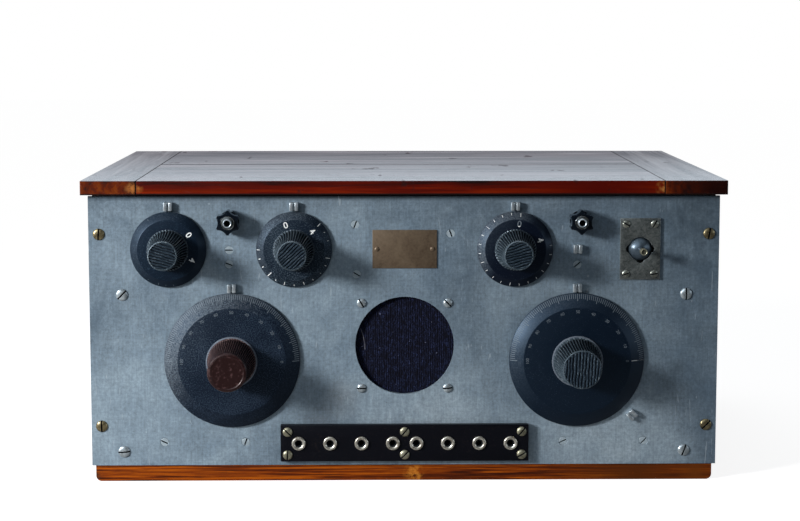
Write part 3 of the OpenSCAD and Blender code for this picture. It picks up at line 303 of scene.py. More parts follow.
def facing(tree, direction):
    # how far a face leans towards a direction, from -1 to 1
    return add(tree, "VectorMath", (coord(tree, "Normal"), direction), "Value", operation="DOT_PRODUCT")


def noise(vector, scale, detail=4.0, rough=0.55, warp=0.0):
    inputs = {"Vector": vector, "Scale": scale, "Detail": detail, "Roughness": rough, "Distortion": warp}
    return add(vector.tree, "TexNoise", inputs, "Fac")


def axes(vector):
    return [add(vector.tree, "SeparateXYZ", (vector,), n) for n in range(3)]


def nearPlace(p, x, z, radius):
    # soft round mask about a place seen from the front, in millimetres
    return ramp(distance(scaled(p, (1, 0, 1)), (x * mm, 0, z * mm)), radius * mm, 0.0)


def relief(height, depth):
    # depth of the relief in millimetres
    return add(height.tree, "Bump", {"Strength": 1, "Distance": depth * mm, "Height": height})


def newMaterial(name):
    material = bpy.data.materials.new(name)
    material.use_nodes = True
    return material, material.node_tree


def paint(material, values):
    for key, value in values.items():
        feed(material.node_tree.nodes["Principled BSDF"].inputs[key], value)
    return material


def newGroup(name, build, **inputs):
    # a node group; build gets its inputs and returns its outputs by name
    group = bpy.data.node_groups.new(name, "ShaderNodeTree")
    for label, value in inputs.items():
        kind = "NodeSocketVector" if isinstance(value, tuple) else "NodeSocketFloat"
        group.interface.new_socket(name=label, in_out="INPUT", socket_type=kind).default_value = value
    entry = group.nodes.new("NodeGroupInput").outputs
    results = build(group, *(Field(entry[label]) for label in inputs))
    for label in results:
        group.interface.new_socket(name=label, in_out="OUTPUT", socket_type="NodeSocketFloat")
    ending = group.nodes.new("NodeGroupOutput").inputs
    for label, value in results.items():
        feed(ending[label], value)
    return group


def use(tree, group, **values):
    node = tree.nodes.new("ShaderNodeGroup")
    node.node_tree = group
    for label, value in values.items():
        feed(node.inputs[label], value)
    return {o.name: Field(o) for o in node.outputs}


def soften(nodes, width):
    # rounds a CAD node's edges a little without touching its mesh
    for n in nodes:
        modify(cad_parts[n], "WELD", merge_threshold=0.000005)
        bevel(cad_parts[n], width, 3, 35)


def twoTone(piece, first, second, test):
    # the second look goes to the faces whose middle, in millimetres, and normal pass the test
    for look in (first, second):
        piece.data.materials.append(looks[look])
    for f in piece.data.polygons:
        f.material_index = int(test(f.center / mm, f.normal))


def stand(piece, body, slotName, look=None, *replaced):
    # a finished piece: its look, the body it moves with, and the CAD nodes it stands for
    if not piece.data.materials:
        piece.data.materials.append(looks[look])
    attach(piece, body)
    if replaced:
        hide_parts(*replaced)
    return piece


# ---- shared surface effects

def woodFigureNodes(tree, along, contrast, wander):
    # streaks and pores that run along the axis with the smallest factor
    p = scaled(coord(tree), along)
    broad = noise(p, 1.0, 3.0, 0.5, wander)
    fine = noise(p, 5.0, 5.0, 0.6, 0.4)
    pores = ramp(noise(scaled(p, (1, 4, 4)), 9.0, 3.0, 0.6), 0.60, 0.72)
    spread = (broad * 0.6 + fine * 0.4 - 0.5) * (contrast * 3.0)
    return {"Figure": spread.math("ADD", 0.5, clamp=True), "Streaks": ramp(fine, 0.56, 0.70), "Pores": pores,
            "Height": fine - pores * 0.8}


def patinaNodes(tree, blotches, brush, seed):
    # stains, blotches and fine brushing of old bare metal
    p = add(tree, "VectorMath", (coord(tree), seed), operation="ADD")
    large = noise(p, blotches, 6.0, 0.62, 0.8)
    small = noise(p, blotches * 7.0, 4.0, 0.6, 0.2)
    return {"Stain": large * 0.7 + small * 0.3, "Specks": ramp(noise(p, 900, 2.0, 0.5), 0.68, 0.78),
            "Brushing": noise(scaled(p, brush), 1.0, 2.0, 0.6)}


def dustNodes(tree, grain, cover, patch):
    # settled dust and small scuffs on moulded pieces
    p = coord(tree)
    limit = 0.75 - cover * (noise(p, patch, 3.0, 0.6) * 0.5)
    scuffs = noise(scaled(p, (300, 900, 60)), 1.0, 3.0, 0.6, 1.0)
    return {"Dust": ramp(noise(p, grain, 2.0, 0.7), limit - 0.05, limit + 0.09), "Scuffs": ramp(scuffs, 0.66, 0.72),
            "Height": noise(p, 500, 3.0, 0.6)}


woodFigure = newGroup("woodFigure", woodFigureNodes, Along=(2, 40, 40), Contrast=1.0, Wander=1.2)
patina = newGroup("patina", patinaNodes, Blotches=14.0, Brush=(1500, 1500, 20), Seed=(0, 0, 0))
dust = newGroup("dust", dustNodes, Grain=1400.0, Cover=0.5, Patch=60.0)
print("surface effects made")


# ---- materials

def wood(name, dark, middle, light, along, rough, contrast, wander, coat, depth, pores, joints=(), wearAndShade=(),
         spots=0.0):
    # joint lines are dark lines (axis, place, half width), and the line along Z at the lid's lower edge is a
    # painted shadow; wear spots are (x, z, radius, tone) on the front edge, rubbed spots and, in the dark tones at
    # the right ends, painted shade
    material, tree = newMaterial(name)
    g = use(tree, woodFigure, Along=along, Contrast=contrast, Wander=wander)
    colour = blend(ramp(g["Figure"], 0.5, 1.0), blend(ramp(g["Figure"], 0.0, 0.5), dark, middle), light)
    colour = blend(g["Streaks"] * 0.55, colour, dark)
    colour = blend(g["Pores"] * pores, colour, [c * 0.35 for c in dark])
    if coat > 0.5:
        # plain, dusty wood under the lid, and a thin grey film on top of it that is partly a painted sheen
        for way, share, tone in ((-1, 0.65, (0.085, 0.038, 0.016)), (1, 0.6, (0.032, 0.032, 0.045))):
            colour = blend(ramp(facing(tree, (0, 0, way)), 0.6, 0.9, 0.0, share), colour, tone)
    p = coord(tree)
    ragged = noise(p, 160.0, 4.0, 0.7, 0.3)
    front = ramp(facing(tree, (0, -1, 0)), 0.3, 0.7)
    for x, z, radius, tone in wearAndShade:
        cover = ramp(ragged, 0.42, 0.58) if radius < 15 else ramp(ragged, 0.22, 0.42)
        colour = blend(nearPlace(p, x, z, radius) * cover * front, colour, tone)
    dirtJointsAndShadow = ramp(noise(scaled(p, (60, 25, 60)), 1.0, 3.0, 0.6), 0.66, 0.70, 0.0, spots)
    for axis, at, half in joints:
        line = ramp(abs(axes(p)["XYZ".index(axis)] - at * mm), half * mm, half * 0.5 * mm)
        if axis == "Z":
            # the shadow under the lid stays off its underside
            line = line * ramp(facing(tree, (0, 0, 1)), -0.9, -0.5)
        dirtJointsAndShadow = most(dirtJointsAndShadow, line)
    satin = ramp(g["Figure"], 0, 1, rough + 0.1, rough - 0.08)
    paint(material, {
        "Base Color": blend(dirtJointsAndShadow, colour, [c * 0.2 for c in dark]), "Roughness": ramp(dirtJointsAndShadow, 0, 1, satin, 0.9),
        "Coat Roughness": 0.2, "Coat IOR": 1.25, "Specular IOR Level": 0.12,
        "Normal": relief(g["Height"] - dirtJointsAndShadow * 2.0, depth),
    })
    if coat:
        # the coat is duller towards the back, where the dust lies
        worn = ramp(axes(p)[1], -0.14, 0.10, coat * 1.26, coat * 0.02) * ramp(ragged, 0.35, 0.7, 1.1, 0.8)
        paint(material, {"Coat Weight": ramp(dirtJointsAndShadow, 0, 1, worn, 0.0)})
    return material


def oldMetal(name, dark, light, blotches, brush, rough, metallic):
    material, tree = newMaterial(name)
    g = use(tree, patina, Blotches=blotches, Brush=brush)
    colour = blend(ramp(g["Stain"], 0.35, 0.65), light, dark)
    return paint(material, {
        "Base Color": blend(g["Specks"] * 0.6, colour, (0.02, 0.02, 0.02)),
        "Roughness": ramp(g["Stain"], 0.35, 0.65, *rough),
        "Metallic": metallic, "Normal": relief(g["Brushing"], 0.01),
    })


def moulded(name, colour, dusty, rough, cover, grain=1400.0, patch=60.0, scuff=0.3, gloss=0.3,
            tint=(0.75, 0.87, 1.0), paintedLightLean=None):
    # lean is (a pale grainy film on faces up and to the left, towards the lamp, which is dust and painted light;
    # share of grains kept on faces down and right, so the faces away from the lamp are painted darker as painted
    # shade)
    material, tree = newMaterial(name)
    g = use(tree, dust, Grain=grain, Cover=cover, Patch=patch)
    share = most(g["Dust"], g["Scuffs"] * scuff)
    if paintedLightLean:
        up = facing(tree, (-0.78, 0, 0.62))
        share = share * ramp(up, -0.25, 0.0, paintedLightLean[1], 1.0)
        dustAndPaintedLight = ramp(up, 0.02, 0.36, 0.0, paintedLightLean[0]) * ramp(noise(coord(tree), 900.0, 2.0, 0.7), 0.36, 0.64, 0.35, 1.5)
        share = most(share, dustAndPaintedLight)
        # where the film lies the dusty tone turns pale blue-grey: painted light on the faces towards the lamp
        dusty = blend(ramp(dustAndPaintedLight, 0.0, 0.4), dusty, (0.105, 0.125, 0.145))
    return paint(material, {
        "Base Color": blend(share, colour, dusty), "Roughness": ramp(share, 0, 1, rough, 0.7),
        "Specular IOR Level": gloss,
        "Specular Tint": tint, "Normal": relief(g["Height"], 0.012),
    })


def panelMetal():
    # stained aluminium: blue-grey bloom, rubbed patches, crossed brushing, darker to the right and under the lid as
    # painted shade, and paler along the foot partly as painted floor light
    tones = {"pale": (0.262, 0.338, 0.400), "middle": (0.160, 0.218, 0.272), "dark": (0.060, 0.092, 0.128),
             "grimeAndShade": (0.035, 0.05, 0.062), "brown": (0.20, 0.17, 0.15), "bright": (0.36, 0.43, 0.48)}
    # patches are (tone, x, z, radius, strength): the dark patches and the grime near the top are painted shade, the
    # pale and bright patches along the foot are rubbed metal with painted light from the floor, and the rest are
    # smudges and stains
    patches = [
        ("grimeAndShade", 199, 83, 9, 0.6), ("grimeAndShade", 187, 55, 6, 0.35), ("grimeAndShade", 214, 188, 30, 0.45),
        ("grimeAndShade", 60, 190, 22, 0.2), ("grimeAndShade", 150, 128, 26, 0.2), ("grimeAndShade", -226, 205, 22, 0.35),
        ("brown", -46, 61, 17, 0.45), ("brown", -60, 40, 22, 0.25), ("dark", 60, 180, 60, 0.7),
        ("dark", 215, 178, 80, 0.95), ("dark", 130, 196, 60, 0.6), ("dark", 0, 200, 70, 0.25),
        ("dark", -226, 120, 30, 0.5), ("pale", 20, 40, 75, 0.95), ("pale", 130, 28, 80, 1.0),
        ("pale", 170, 30, 50, 0.6), ("pale", -190, 40, 50, 0.9), ("pale", -30, 150, 30, 0.3),
        ("dark", -200, 200, 60, 0.8), ("dark", -120, 205, 50, 0.3), ("grimeAndShade", -150, 186, 40, 0.12),
        ("bright", 150, 22, 80, 0.75), ("bright", 15, 38, 70, 0.75), ("grimeAndShade", 210, 200, 50, 0.45),
        ("grimeAndShade", 225, 110, 40, 0.15),
    ]
    material, tree = newMaterial("panelMetal")
    g = use(tree, patina, Blotches=12.0, Brush=(1500, 1500, 45), Seed=(0.3, 0, 0.1))
    p = coord(tree)
    x, y, z = axes(p)
    ragged = noise(p, 38.0, 5.0, 0.7, 0.4)
    # painted shadow of the lid's overhang across the top of the panel, broken up by noise
    paintedLidShadow = ramp(z, 0.188, 0.211) * ramp(ragged, 0.35, 0.7, 0.15, 0.8)
    colour = blend(ramp(g["Stain"], 0.38, 0.60), tones["pale"], tones["middle"])
    colour = blend(ramp(noise(p, 7.0, 5.0, 0.65, 0.6), 0.50, 0.72, 0.0, 0.75), colour, tones["dark"])
    # painted shade: darker towards the right, away from the lamp
    colour = blend(ramp(x, 0.05, 0.235, 0.0, 0.25), colour, tones["dark"])
    colour = blend(paintedLidShadow * 0.55, colour, tones["grimeAndShade"])
    # a painted shadow line just under the lid's edge
    colour = blend(ramp(z, 0.2062, 0.2088, 0.0, 0.85), colour, tones["grimeAndShade"])
    for tone, atX, atZ, radius, strength in patches:
        mask = nearPlace(p, atX, atZ, radius) * ramp(ragged, 0.33, 0.62, 0.25, 1.0)
        colour = blend(mask * strength, colour, tones[tone])
    crossed = noise(scaled(p, (1000, 1, 35)), 1.0, 2.0, 0.6) + noise(scaled(p, (35, 1, 1000)), 1.0, 2.0, 0.6)
    mottle = noise(scaled(p, (1, 1, 0.55)), 95.0, 5.0, 0.7, 0.5) + noise(scaled(p, (700, 1, 60)), 1.0, 3.0, 0.6)
    grains = noise(p, 420.0, 4.0, 0.75)
    for texture, low, high, change in ((crossed, 0.75, 1.25, 0.07), (mottle, 0.75, 1.25, 0.12),
                                       (grains, 0.36, 0.64, 0.18)):
        colour = blend(1.0, colour, ramp(texture, low, high, 1 - change, 1 + change), "MULTIPLY")
    scratches = noise(scaled(p, (210, 1, 30)), 1.0, 1.0, 0.4, 3.0)
    colour = blend(ramp(scratches, 0.755, 0.77, 0.0, 0.28), colour, (0.55, 0.61, 0.66))
    return paint(material, {
        "Base Color": blend(g["Specks"] * 0.45, colour, tones["grimeAndShade"]),
        "Roughness": ramp(g["Stain"], 0.35, 0.7, 0.40, 0.56),
        "Metallic": 0.35, "Normal": relief(crossed + grains, 0.015),
    })


def clothWeave():
    # dark ribbed cloth, paler on the crown of each stitch and painted near black between the stitches as painted
    # shade, with lint and one pale thread on the arc of a circle
    material, tree = newMaterial("ribbedCloth")
    p = coord(tree)
    x, y, z = axes(p)
    wave = noise(scaled(p, (640, 1, 210)), 1.0, 3.0, 0.65, 0.6)
    stitch = noise(scaled(p, (1500, 1, 900)), 1.0, 2.0, 0.6)
    crowns = ramp(wave, 0.42, 0.68) * ramp(stitch, 0.42, 0.66)
    colour = blend(crowns, (0.0004, 0.0006, 0.0045), (0.022, 0.032, 0.088))
    colour = blend(ramp(noise(p, 420, 1.0, 0.5), 0.77, 0.80), colour, (0.09, 0.10, 0.16))
    off = abs(distance(scaled(p, (1, 0, 1)), (-0.072, 0, 0.0965)) - 0.043)
    thread = ramp(off, 0.00036, 0.00020) * ramp(z, 0.0965, 0.0975)
    thread = thread * ramp(z, 0.1130, 0.1115) * ramp(x, -0.0355, -0.035)
    return paint(material, {
        "Base Color": blend(thread * 0.6, colour, (0.16, 0.16, 0.19)), "Roughness": 0.92,
        "Specular IOR Level": 0.15,
        "Normal": relief(stitch + wave, 0.25),
    })


def glassWall():
    material, tree = newMaterial("bulbGlass")
    g = use(tree, dust, Grain=700.0, Cover=0.2, Patch=30.0)
    return paint(material, {
        "Base Color": blend(g["Dust"], (0.93, 0.96, 0.97), (0.6, 0.63, 0.64)),
        "Roughness": ramp(g["Dust"], 0, 1, 0.02, 0.3),
        "Transmission Weight": 1, "IOR": 1.45,
    })


lidJoints = [("X", -193.3), ("X", 187.8)]
blueTint = (0.5, 0.72, 1.0)
# tones from dark to light, then how the grain runs, roughness, contrast, wander, coat, relief and pores
# the lines along Z at 211 under the lid and the dark wear tones towards the right end of the lid, the lid ends and
# the base are painted shade
woodLooks = {
    "lid": ("lidWood", (0.009, 0.0006, 0.0004), (0.088, 0.0036, 0.0005), (0.21, 0.016, 0.0012), (3, 45, 60),
            0.36, 1.3, 1.4, 0.85, 0.05, 0.4, [(*j, 0.7) for j in lidJoints] + [("Y", -3.1, 2.2), ("Z", 211.0, 1.9)],
            [(140, 216, 80, (0.070, 0.0022, 0.0004)), (187, 216, 7, (0.42, 0.17, 0.04)),
             (-191, 216, 4, (0.30, 0.10, 0.02))], 0.5),
    "lidEnd": ("lidEndWood", (0.016, 0.002, 0.0008), (0.085, 0.010, 0.0010), (0.17, 0.034, 0.004), (60, 3, 60),
               0.36, 1.2, 1.4, 0.85, 0.05, 0.4, [(*j, 0.5) for j in lidJoints] + [("Z", 211.0, 1.5)],
               [(-196, 216, 6, (0.36, 0.13, 0.03)), (222, 214, 34, (0.010, 0.0010, 0.0006)),
                (232, 216, 22, (0.008, 0.0010, 0.0006))], 0.4),
    "base": ("baseWood", (0.034, 0.0050, 0.0005), (0.172, 0.0265, 0.0008), (0.385, 0.084, 0.003), (13, 60, 800),
             0.42, 1.9, 0.7, 0.0, 0.06, 0.8, (),
             [(7, 5, 9, (0.70, 0.26, 0.03)), (-225, 5, 5, (0.05, 0.02, 0.010)),
              (170, 5, 75, (0.085, 0.018, 0.0012)), (214, 5, 16, (0.13, 0.030, 0.002))]),
    "side": ("sideWood", (0.03, 0.008, 0.004), (0.12, 0.03, 0.010), (0.22, 0.062, 0.020), (45, 3, 40), 0.42, 1.0,
             1.6, 0.35, 0.06, 0.6),
    "back": ("backWood", (0.03, 0.008, 0.004), (0.11, 0.028, 0.010), (0.20, 0.058, 0.020), (3, 45, 40), 0.45, 1.0,
             1.6, 0.25, 0.06, 0.6),
    "chassis": ("chassisWood", (0.16, 0.085, 0.035), (0.34, 0.20, 0.09), (0.48, 0.31, 0.15), (4, 60, 60), 0.62, 0.9,
                1.0, 0.0, 0.1, 0.5),
}
# plain tone, dusty tone, roughness, cover of the dust, then grain, patch size, scuffs, gloss, tint and the lean of
# the painted light
mouldedLooks = {
    "smallDial": ("smallDialBlack", (0.0015, 0.0042, 0.010), (0.022, 0.042, 0.066), 0.40, 0.46, 1500, 45, 0.08,
                  0.30, blueTint, (0.14, 0.2)),
    "thirdDial": ("thirdDialBlack", (0.0008, 0.0016, 0.006), (0.075, 0.105, 0.140), 0.38, 0.20, 1500, 45, 0.05,
                  0.34, blueTint, (0.45, 0.2)),
    "secondDial": ("secondDialGrey", (0.0010, 0.0030, 0.0075), (0.058, 0.082, 0.106), 0.42, 0.80, 1200, 30, 0.10,
                   0.30, blueTint, (0.25, 0.8)),
    "leftDial": ("tuningDialDusty", (0.0008, 0.0022, 0.0070), (0.026, 0.041, 0.065), 0.46, 0.80, 1150, 25, 0.08,
                 0.28, blueTint, (0.46, 0.35)),
    "rightDial": ("tuningDialBlack", (0.0018, 0.0050, 0.0115), (0.048, 0.076, 0.108), 0.38, 0.28, 1500, 30, 0.10,
                  0.34, blueTint, (0.15, 0.3)),
    "knobBlack": ("knobBlack", (0.030, 0.045, 0.058), (0.19, 0.235, 0.265), 0.34, 0.62, 1100, 120, 0.2, 0.5),
    "capLand": ("capLand", (0.013, 0.022, 0.033), (0.080, 0.108, 0.135), 0.36, 0.6, 1100, 120, 0.2, 0.4),
    "knobGroove": ("knobGroove", (0.0015, 0.0025, 0.004), (0.012, 0.016, 0.022), 0.6, 0.3, 1100, 60, 0.3, 0.1),
    "knobBrown": ("knobBrown", (0.012, 0.0036, 0.0036), (0.045, 0.019, 0.019), 0.32, 0.60, 420, 90, 0.3, 0.30,
                  (1.0, 0.85, 0.85)),
    "brownLand": ("brownLand", (0.040, 0.018, 0.017), (0.17, 0.11, 0.10), 0.4, 0.7, 1100, 120, 0.2, 0.4),
    "brownGroove": ("brownGroove", (0.004, 0.0012, 0.0014), (0.02, 0.008, 0.007), 0.6, 0.3, 1100, 60, 0.3, 0.1),
    "flangeGrey": ("flangeGrey", (0.10, 0.12, 0.15), (0.26, 0.30, 0.34), 0.4, 0.5, 1600, 120, 0.1),
    "filedGap": ("filedGap", (0.004, 0.006, 0.008), (0.02, 0.025, 0.03), 0.8, 0.3, 1400, 60, 0.2, 0.1),
    "bore": ("boreDark", (0.002, 0.002, 0.002), (0.006, 0.006, 0.006), 0.8, 0.2),
    "ebonite": ("eboniteBlack", (0.0022, 0.0020, 0.0036), (0.030, 0.022, 0.020), 0.40, 0.28, 1300, 50, 0.15, 0.12),
    "starBlack": ("starBlack", (0.0025, 0.0045, 0.008), (0.05, 0.058, 0.07), 0.13, 0.10, 1400, 60, 0.2, 1.0),
    "dish": ("oliveDish", (0.045, 0.043, 0.028), (0.10, 0.09, 0.06), 0.5, 0.3),
    "cotton": ("cottonGreen", (0.030, 0.060, 0.030), (0.16, 0.17, 0.12), 0.7, 0.4),
    "wrap": ("paperWrap", (0.20, 0.12, 0.055), (0.34, 0.26, 0.17), 0.6, 0.4),
    "card": ("coilCard", (0.16, 0.075, 0.03), (0.30, 0.24, 0.17), 0.55, 0.3),
    "former": ("formerBrown", (0.035, 0.016, 0.010), (0.10, 0.08, 0.07), 0.45, 0.3),
    "case": ("blackJapan", (0.010, 0.010, 0.011), (0.08, 0.08, 0.08), 0.22, 0.3),
    "mark": ("whiteFill", (0.76, 0.79, 0.79), (0.34, 0.37, 0.38), 0.6, 0.3, 2500, 300),
    "dullMark": ("dullFill", (0.115, 0.14, 0.165), (0.045, 0.06, 0.075), 0.6, 0.45, 2500, 250),
}
# stained tone, clean tone, size of the blotches, how the brushing runs, roughness from clean to stained, metal
metalLooks = {
    "plateScrew": ("plateScrew", (0.08, 0.085, 0.075), (0.36, 0.37, 0.32), 260, (60, 60, 60), (0.26, 0.42), 0.8),
    "nickel": ("nickel", (0.16, 0.16, 0.15), (0.60, 0.60, 0.58), 160, (60, 60, 60), (0.16, 0.32), 1.0),
    "paleNickel": ("paleNickel", (0.27, 0.31, 0.34), (0.62, 0.68, 0.71), 200, (60, 60, 60), (0.26, 0.4), 0.75),
    "plateNickel": ("darkNickel", (0.030, 0.037, 0.038), (0.17, 0.185, 0.18), 420, (900, 900, 40),
                    (0.34, 0.48), 0.55),
    "steel": ("steel", (0.16, 0.19, 0.21), (0.50, 0.56, 0.59), 190, (900, 900, 900), (0.24, 0.38), 0.6),
    "brass": ("agedBrass", (0.035, 0.025, 0.012), (0.34, 0.28, 0.155), 170, (60, 60, 60), (0.26, 0.42), 0.85),
    "paleBrass": ("paleBrass", (0.11, 0.10, 0.065), (0.42, 0.40, 0.29), 120, (60, 60, 60), (0.3, 0.45), 0.8),
    "filedSteel": ("filedSteel", (0.25, 0.31, 0.35), (0.40, 0.48, 0.53), 190, (60, 60, 60), (0.4, 0.52), 0.3),
    "plateBrass": ("plateBrass", (0.075, 0.048, 0.028), (0.17, 0.125, 0.082), 70, (25, 1500, 1500),
                   (0.36, 0.52), 0.4),
    "ballSteel": ("ballSteel", (0.030, 0.045, 0.062), (0.10, 0.135, 0.17), 90, (900, 900, 900), (0.24, 0.36), 0.55),
    "socketNickel": ("socketNickel", (0.20, 0.17, 0.125), (0.74, 0.71, 0.63), 160, (60, 60, 60), (0.2, 0.34), 0.8),
    "silvering": ("getterSilver", (0.16, 0.17, 0.19), (0.42, 0.44, 0.47), 40, (60, 60, 60), (0.06, 0.16), 1.0),
    "vane": ("vaneMetal", (0.30, 0.31, 0.32), (0.62, 0.64, 0.65), 60, (1200, 40, 1200), (0.3, 0.45), 0.9),
    "copper": ("copperWire", (0.12, 0.045, 0.02), (0.46, 0.20, 0.10), 90, (40, 40, 2400), (0.3, 0.5), 0.9),
    "core": ("coreIron", (0.03, 0.03, 0.032), (0.12, 0.12, 0.125), 60, (60, 3000, 60), (0.5, 0.7), 0.6),
}
looks = {"panel": panelMetal(), "cloth": clothWeave(), "glass": glassWall()}
for maker, rows in ((wood, woodLooks), (moulded, mouldedLooks), (oldMetal, metalLooks)):
    looks.update({key: maker(*row) for key, row in rows.items()})
print("materials made")

dressed = {
    "lid": "lid_boards", "lidEnd": "lid_ends", "base": "base_board", "side": "side_boards", "back": "back_board",
    "chassis": "chassis_board", "panel": "front_panel", "cloth": "grille_cloth", "glass": "valve_bulbs",
    "ebonite": "speaker_ring terminal_collars terminal_nut_left terminal_nut_right valve_bases socket_strip",
    "paleNickel": "index_blocks", "plateBrass": "name_plate", "plateNickel": "switch_plate", "case": "speaker_case",
    "nickel": "sockets terminal_studs terminal_ring_left terminal_ring_right switch_yoke switch_lever bus_wires "
              "grille_screws",
    "steel": "panel_steel_screws panel_brackets switch_frame switch_plate_screws",
    "brass": "panel_wood_screws strip_screws cabinet_hinges lid_hinges plate_rivets lever_tip "
             "small_spindle_1 small_spindle_2 small_spindle_3",
    "core": "transformer_cores", "copper": "transformer_windings rheostat_windings", "card": "tuning_coils",
    "former": "fixed_condensers rheostat_formers",
    "vane": "condenser_frames condenser_stators tuning_rotor_left tuning_rotor_right",
    "smallDial": "small_dial_1 small_dial_2 small_dial_3",
    "knobBlack": "small_knob_1 small_knob_2 small_knob_3 tuning_knob_right", "knobBrown": "tuning_knob_left",
    "leftDial": "tuning_dial_left", "rightDial": "tuning_dial_right",
}
for look, nodes in dressed.items():
    for n in nodes.split():
        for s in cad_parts[n].material_slots:
            s.material = looks[look]
soften(["lid_boards", "lid_ends"], 0.7)
soften(["side_boards", "back_board"], 0.5)
soften(["base_board"], 0.8)
print("frame pieces dressed")


# ---- dials

def dialBody(sizes, sides):
    # bevelled disc with a rolled rim and a soft edge between the bevel and the flat face
    r, flat, gap = sizes["radius"], sizes["radius"] - sizes["bevel"], sizes["gap"]
    face, edge = gap + sizes["thick"], gap + sizes["edge"]
    slope = (face - edge) / sizes["bevel"]
    return turned("dialMaster", [
        (3.2, gap), (r - 0.5, gap), (r - 0.1, gap + 0.15), (r, gap + 0.5), (r, edge - 0.35), (r - 0.12, edge - 0.1),
        (r - 0.4, edge + 0.4 * slope), (flat + 0.3, face - 0.3 * slope), (flat + 0.08, face - 0.05),
        (flat - 0.15, face), (4.2, face), (3.2, face),
    ], sides, 25, loop=True)


def bevelPlace(sizes, along):
    # radius and height on the bevel, along runs from 0 at the rim to 1 at the flat face
    face, edge = sizes["gap"] + sizes["thick"], sizes["gap"] + sizes["edge"]
    return sizes["radius"] - sizes["bevel"] * along, edge + (face - edge) * along


def scaleMark(name, sizes, angle, fromShare, toShare, width):
    # a filled line on the bevel; angle is clockwise from the top
    r0, h0 = bevelPlace(sizes, fromShare)
    r1, h1 = bevelPlace(sizes, toShare)
    mark = block(name, width, math.hypot(r1 - r0, h1 - h0), -0.12, 0.03)
    tilt = Matrix.Rotation(math.atan2(h0 - h1, r0 - r1), 4, "X")
    return settle(mark, spin(-angle) @ shift(0, (r0 + r1) / 2, (h0 + h1) / 2) @ tilt)


def numeral(text, radius, height, angle, size, bold=0.0):
    # a printed figure, its top pointing outwards
    clear()
    bpy.ops.object.text_add()
    figure = bpy.context.object
    figure.data.body = text
    figure.data.size = size * mm
    figure.data.align_x = figure.data.align_y = "CENTER"
    figure.data.extrude = 0.03 * mm
    figure.data.offset = bold * mm
    bpy.ops.object.convert(target="MESH")
    figure = settle(named("figure"), spin(-angle) @ shift(0, radius, height))
    closeUp(figure)
    return figure


def makeSmallDials():
    # marks are (angle clockwise from the top, from and to share of the bevel, width); figures are (text, angle)
    marks = {
        "figureRadius": 18.8, "figureSize": 6.4, "bold": 0.06, "widthShare": 0.8,
        "figures": [[("0", 54), ("4", 112)], [("0", -17.6), ("4", 44.6)], [("0", 7.8), ("4", 68.3)]],
        "sets": [
            [(172, 0.2, 0.4, 0.35), (184, 0.2, 0.4, 0.35), (196, 0.2, 0.5, 0.35), (214, 0.2, 0.35, 0.35),
             (327, 0.2, 0.4, 0.3)],
            [(45, 0.12, 0.62, 0.6), (60, 0.3, 0.46, 0.4), (75, 0.3, 0.48, 0.55), (104, 0.14, 0.72, 0.6),
             (117, 0.26, 0.46, 0.6), (132, 0.3, 0.42, 0.4), (148, 0.24, 0.42, 0.6), (164, 0.15, 0.6, 0.55),
             (180, 0.2, 0.4, 0.6), (196, 0.15, 0.6, 0.55), (211, 0.24, 0.42, 0.6), (225, 0.1, 0.8, 0.6),
             (241, 0.2, 0.45, 0.65), (255, 0.2, 0.45, 0.65), (270, 0.1, 0.5, 0.5)],
            [(83.5 + 15 * k, 0.16, 0.6 if k % 4 == 3 else 0.45, 0.4) for k in range(20)],
        ],
    }
    body = dialBody(smallDials, 128)
    face = smallDials["gap"] + smallDials["thick"]
    for n, ((x, z), turn) in enumerate(zip(smallDials["places"], smallDials["turns"]), 1):
        rides = (f"small_dial_{n}", "dial_black")
        disc = settle(copyOf(body, f"smallDial{n}"), onPanel(x, z, 0, turn))
        stand(disc, *rides, ("smallDial", "secondDial", "thirdDial")[n - 1], f"small_dial_{n}")
        lines = [scaleMark("line", smallDials, *m[:3], m[3] * marks["widthShare"]) for m in marks["sets"][n - 1]]
        if n == 1:
            stand(settle(join("smallScaleFaint", lines), onPanel(x, z)), *rides, "dullMark")
            lines = []
        for text, angle in marks["figures"][n - 1]:
            lines.append(numeral(text, marks["figureRadius"], face, angle, marks["figureSize"], marks["bold"]))
        figures = join(f"smallScale{n}", lines)
        # on the third dial the upper parts of the nought and the four take the dull filling, a painted shadow, and
        # only their lower parts keep the white filling
        twoTone(figures, "mark", "dullMark",
                lambda c, normal: n == 3 and c.xy.length < 22 and c.y > (9.3 if c.x > 8 else 17.3))
        stand(settle(figures, onPanel(x, z)), *rides)
    bpy.data.objects.remove(body)


def makeTuningDials():
    marks = {"span": 180, "count": 100, "figureRadius": 36.2, "figureSize": 3.1}
    body = dialBody(tuningDials, 180)
    face = tuningDials["gap"] + tuningDials["thick"]
    step = marks["span"] / marks["count"]
    lines = []
    for k in range(marks["count"] + 1):
        inner = 0.54 if k % 10 == 0 else (0.46 if k % 5 == 0 else 0.38)
        lines.append(scaleMark("line", tuningDials, 90 - k * step, 0.05, inner, 0.42 if k % 10 else 0.5))
    for k in range(0, marks["count"] + 1, 10):
        lines.append(numeral(str(k), marks["figureRadius"], face, 90 - k * step, marks["figureSize"]))
    scale = join("scaleMaster", lines)
    for side, place in zip(("left", "right"), tuningDials["places"]):
        rides = (f"tuning_{side}", "dial_black")
        stand(settle(copyOf(body, f"tuningDial_{side}"), onPanel(*place)), *rides, side + "Dial",
              f"tuning_dial_{side}")
        stand(settle(copyOf(scale, f"tuningScale_{side}"), onPanel(*place)), *rides, "dullMark")
    zero = scaleMark("tuningZeroLine", tuningDials, 90, 0.05, 0.95, 0.5)
    stand(settle(zero, onPanel(*place)), *rides, "mark")
    for master in (body, scale):
        bpy.data.objects.remove(master)


makeSmallDials()
makeTuningDials()
print("dials made")


# ---- knobs

def flare(foot, top, low, high, power):
    # the hollow curve of a grip from its foot to its top
    return [(top + 0.2 + (foot - top - 0.2) * (1 - k / 8) ** power, low + (high - low) * k / 8) for k in range(9)]


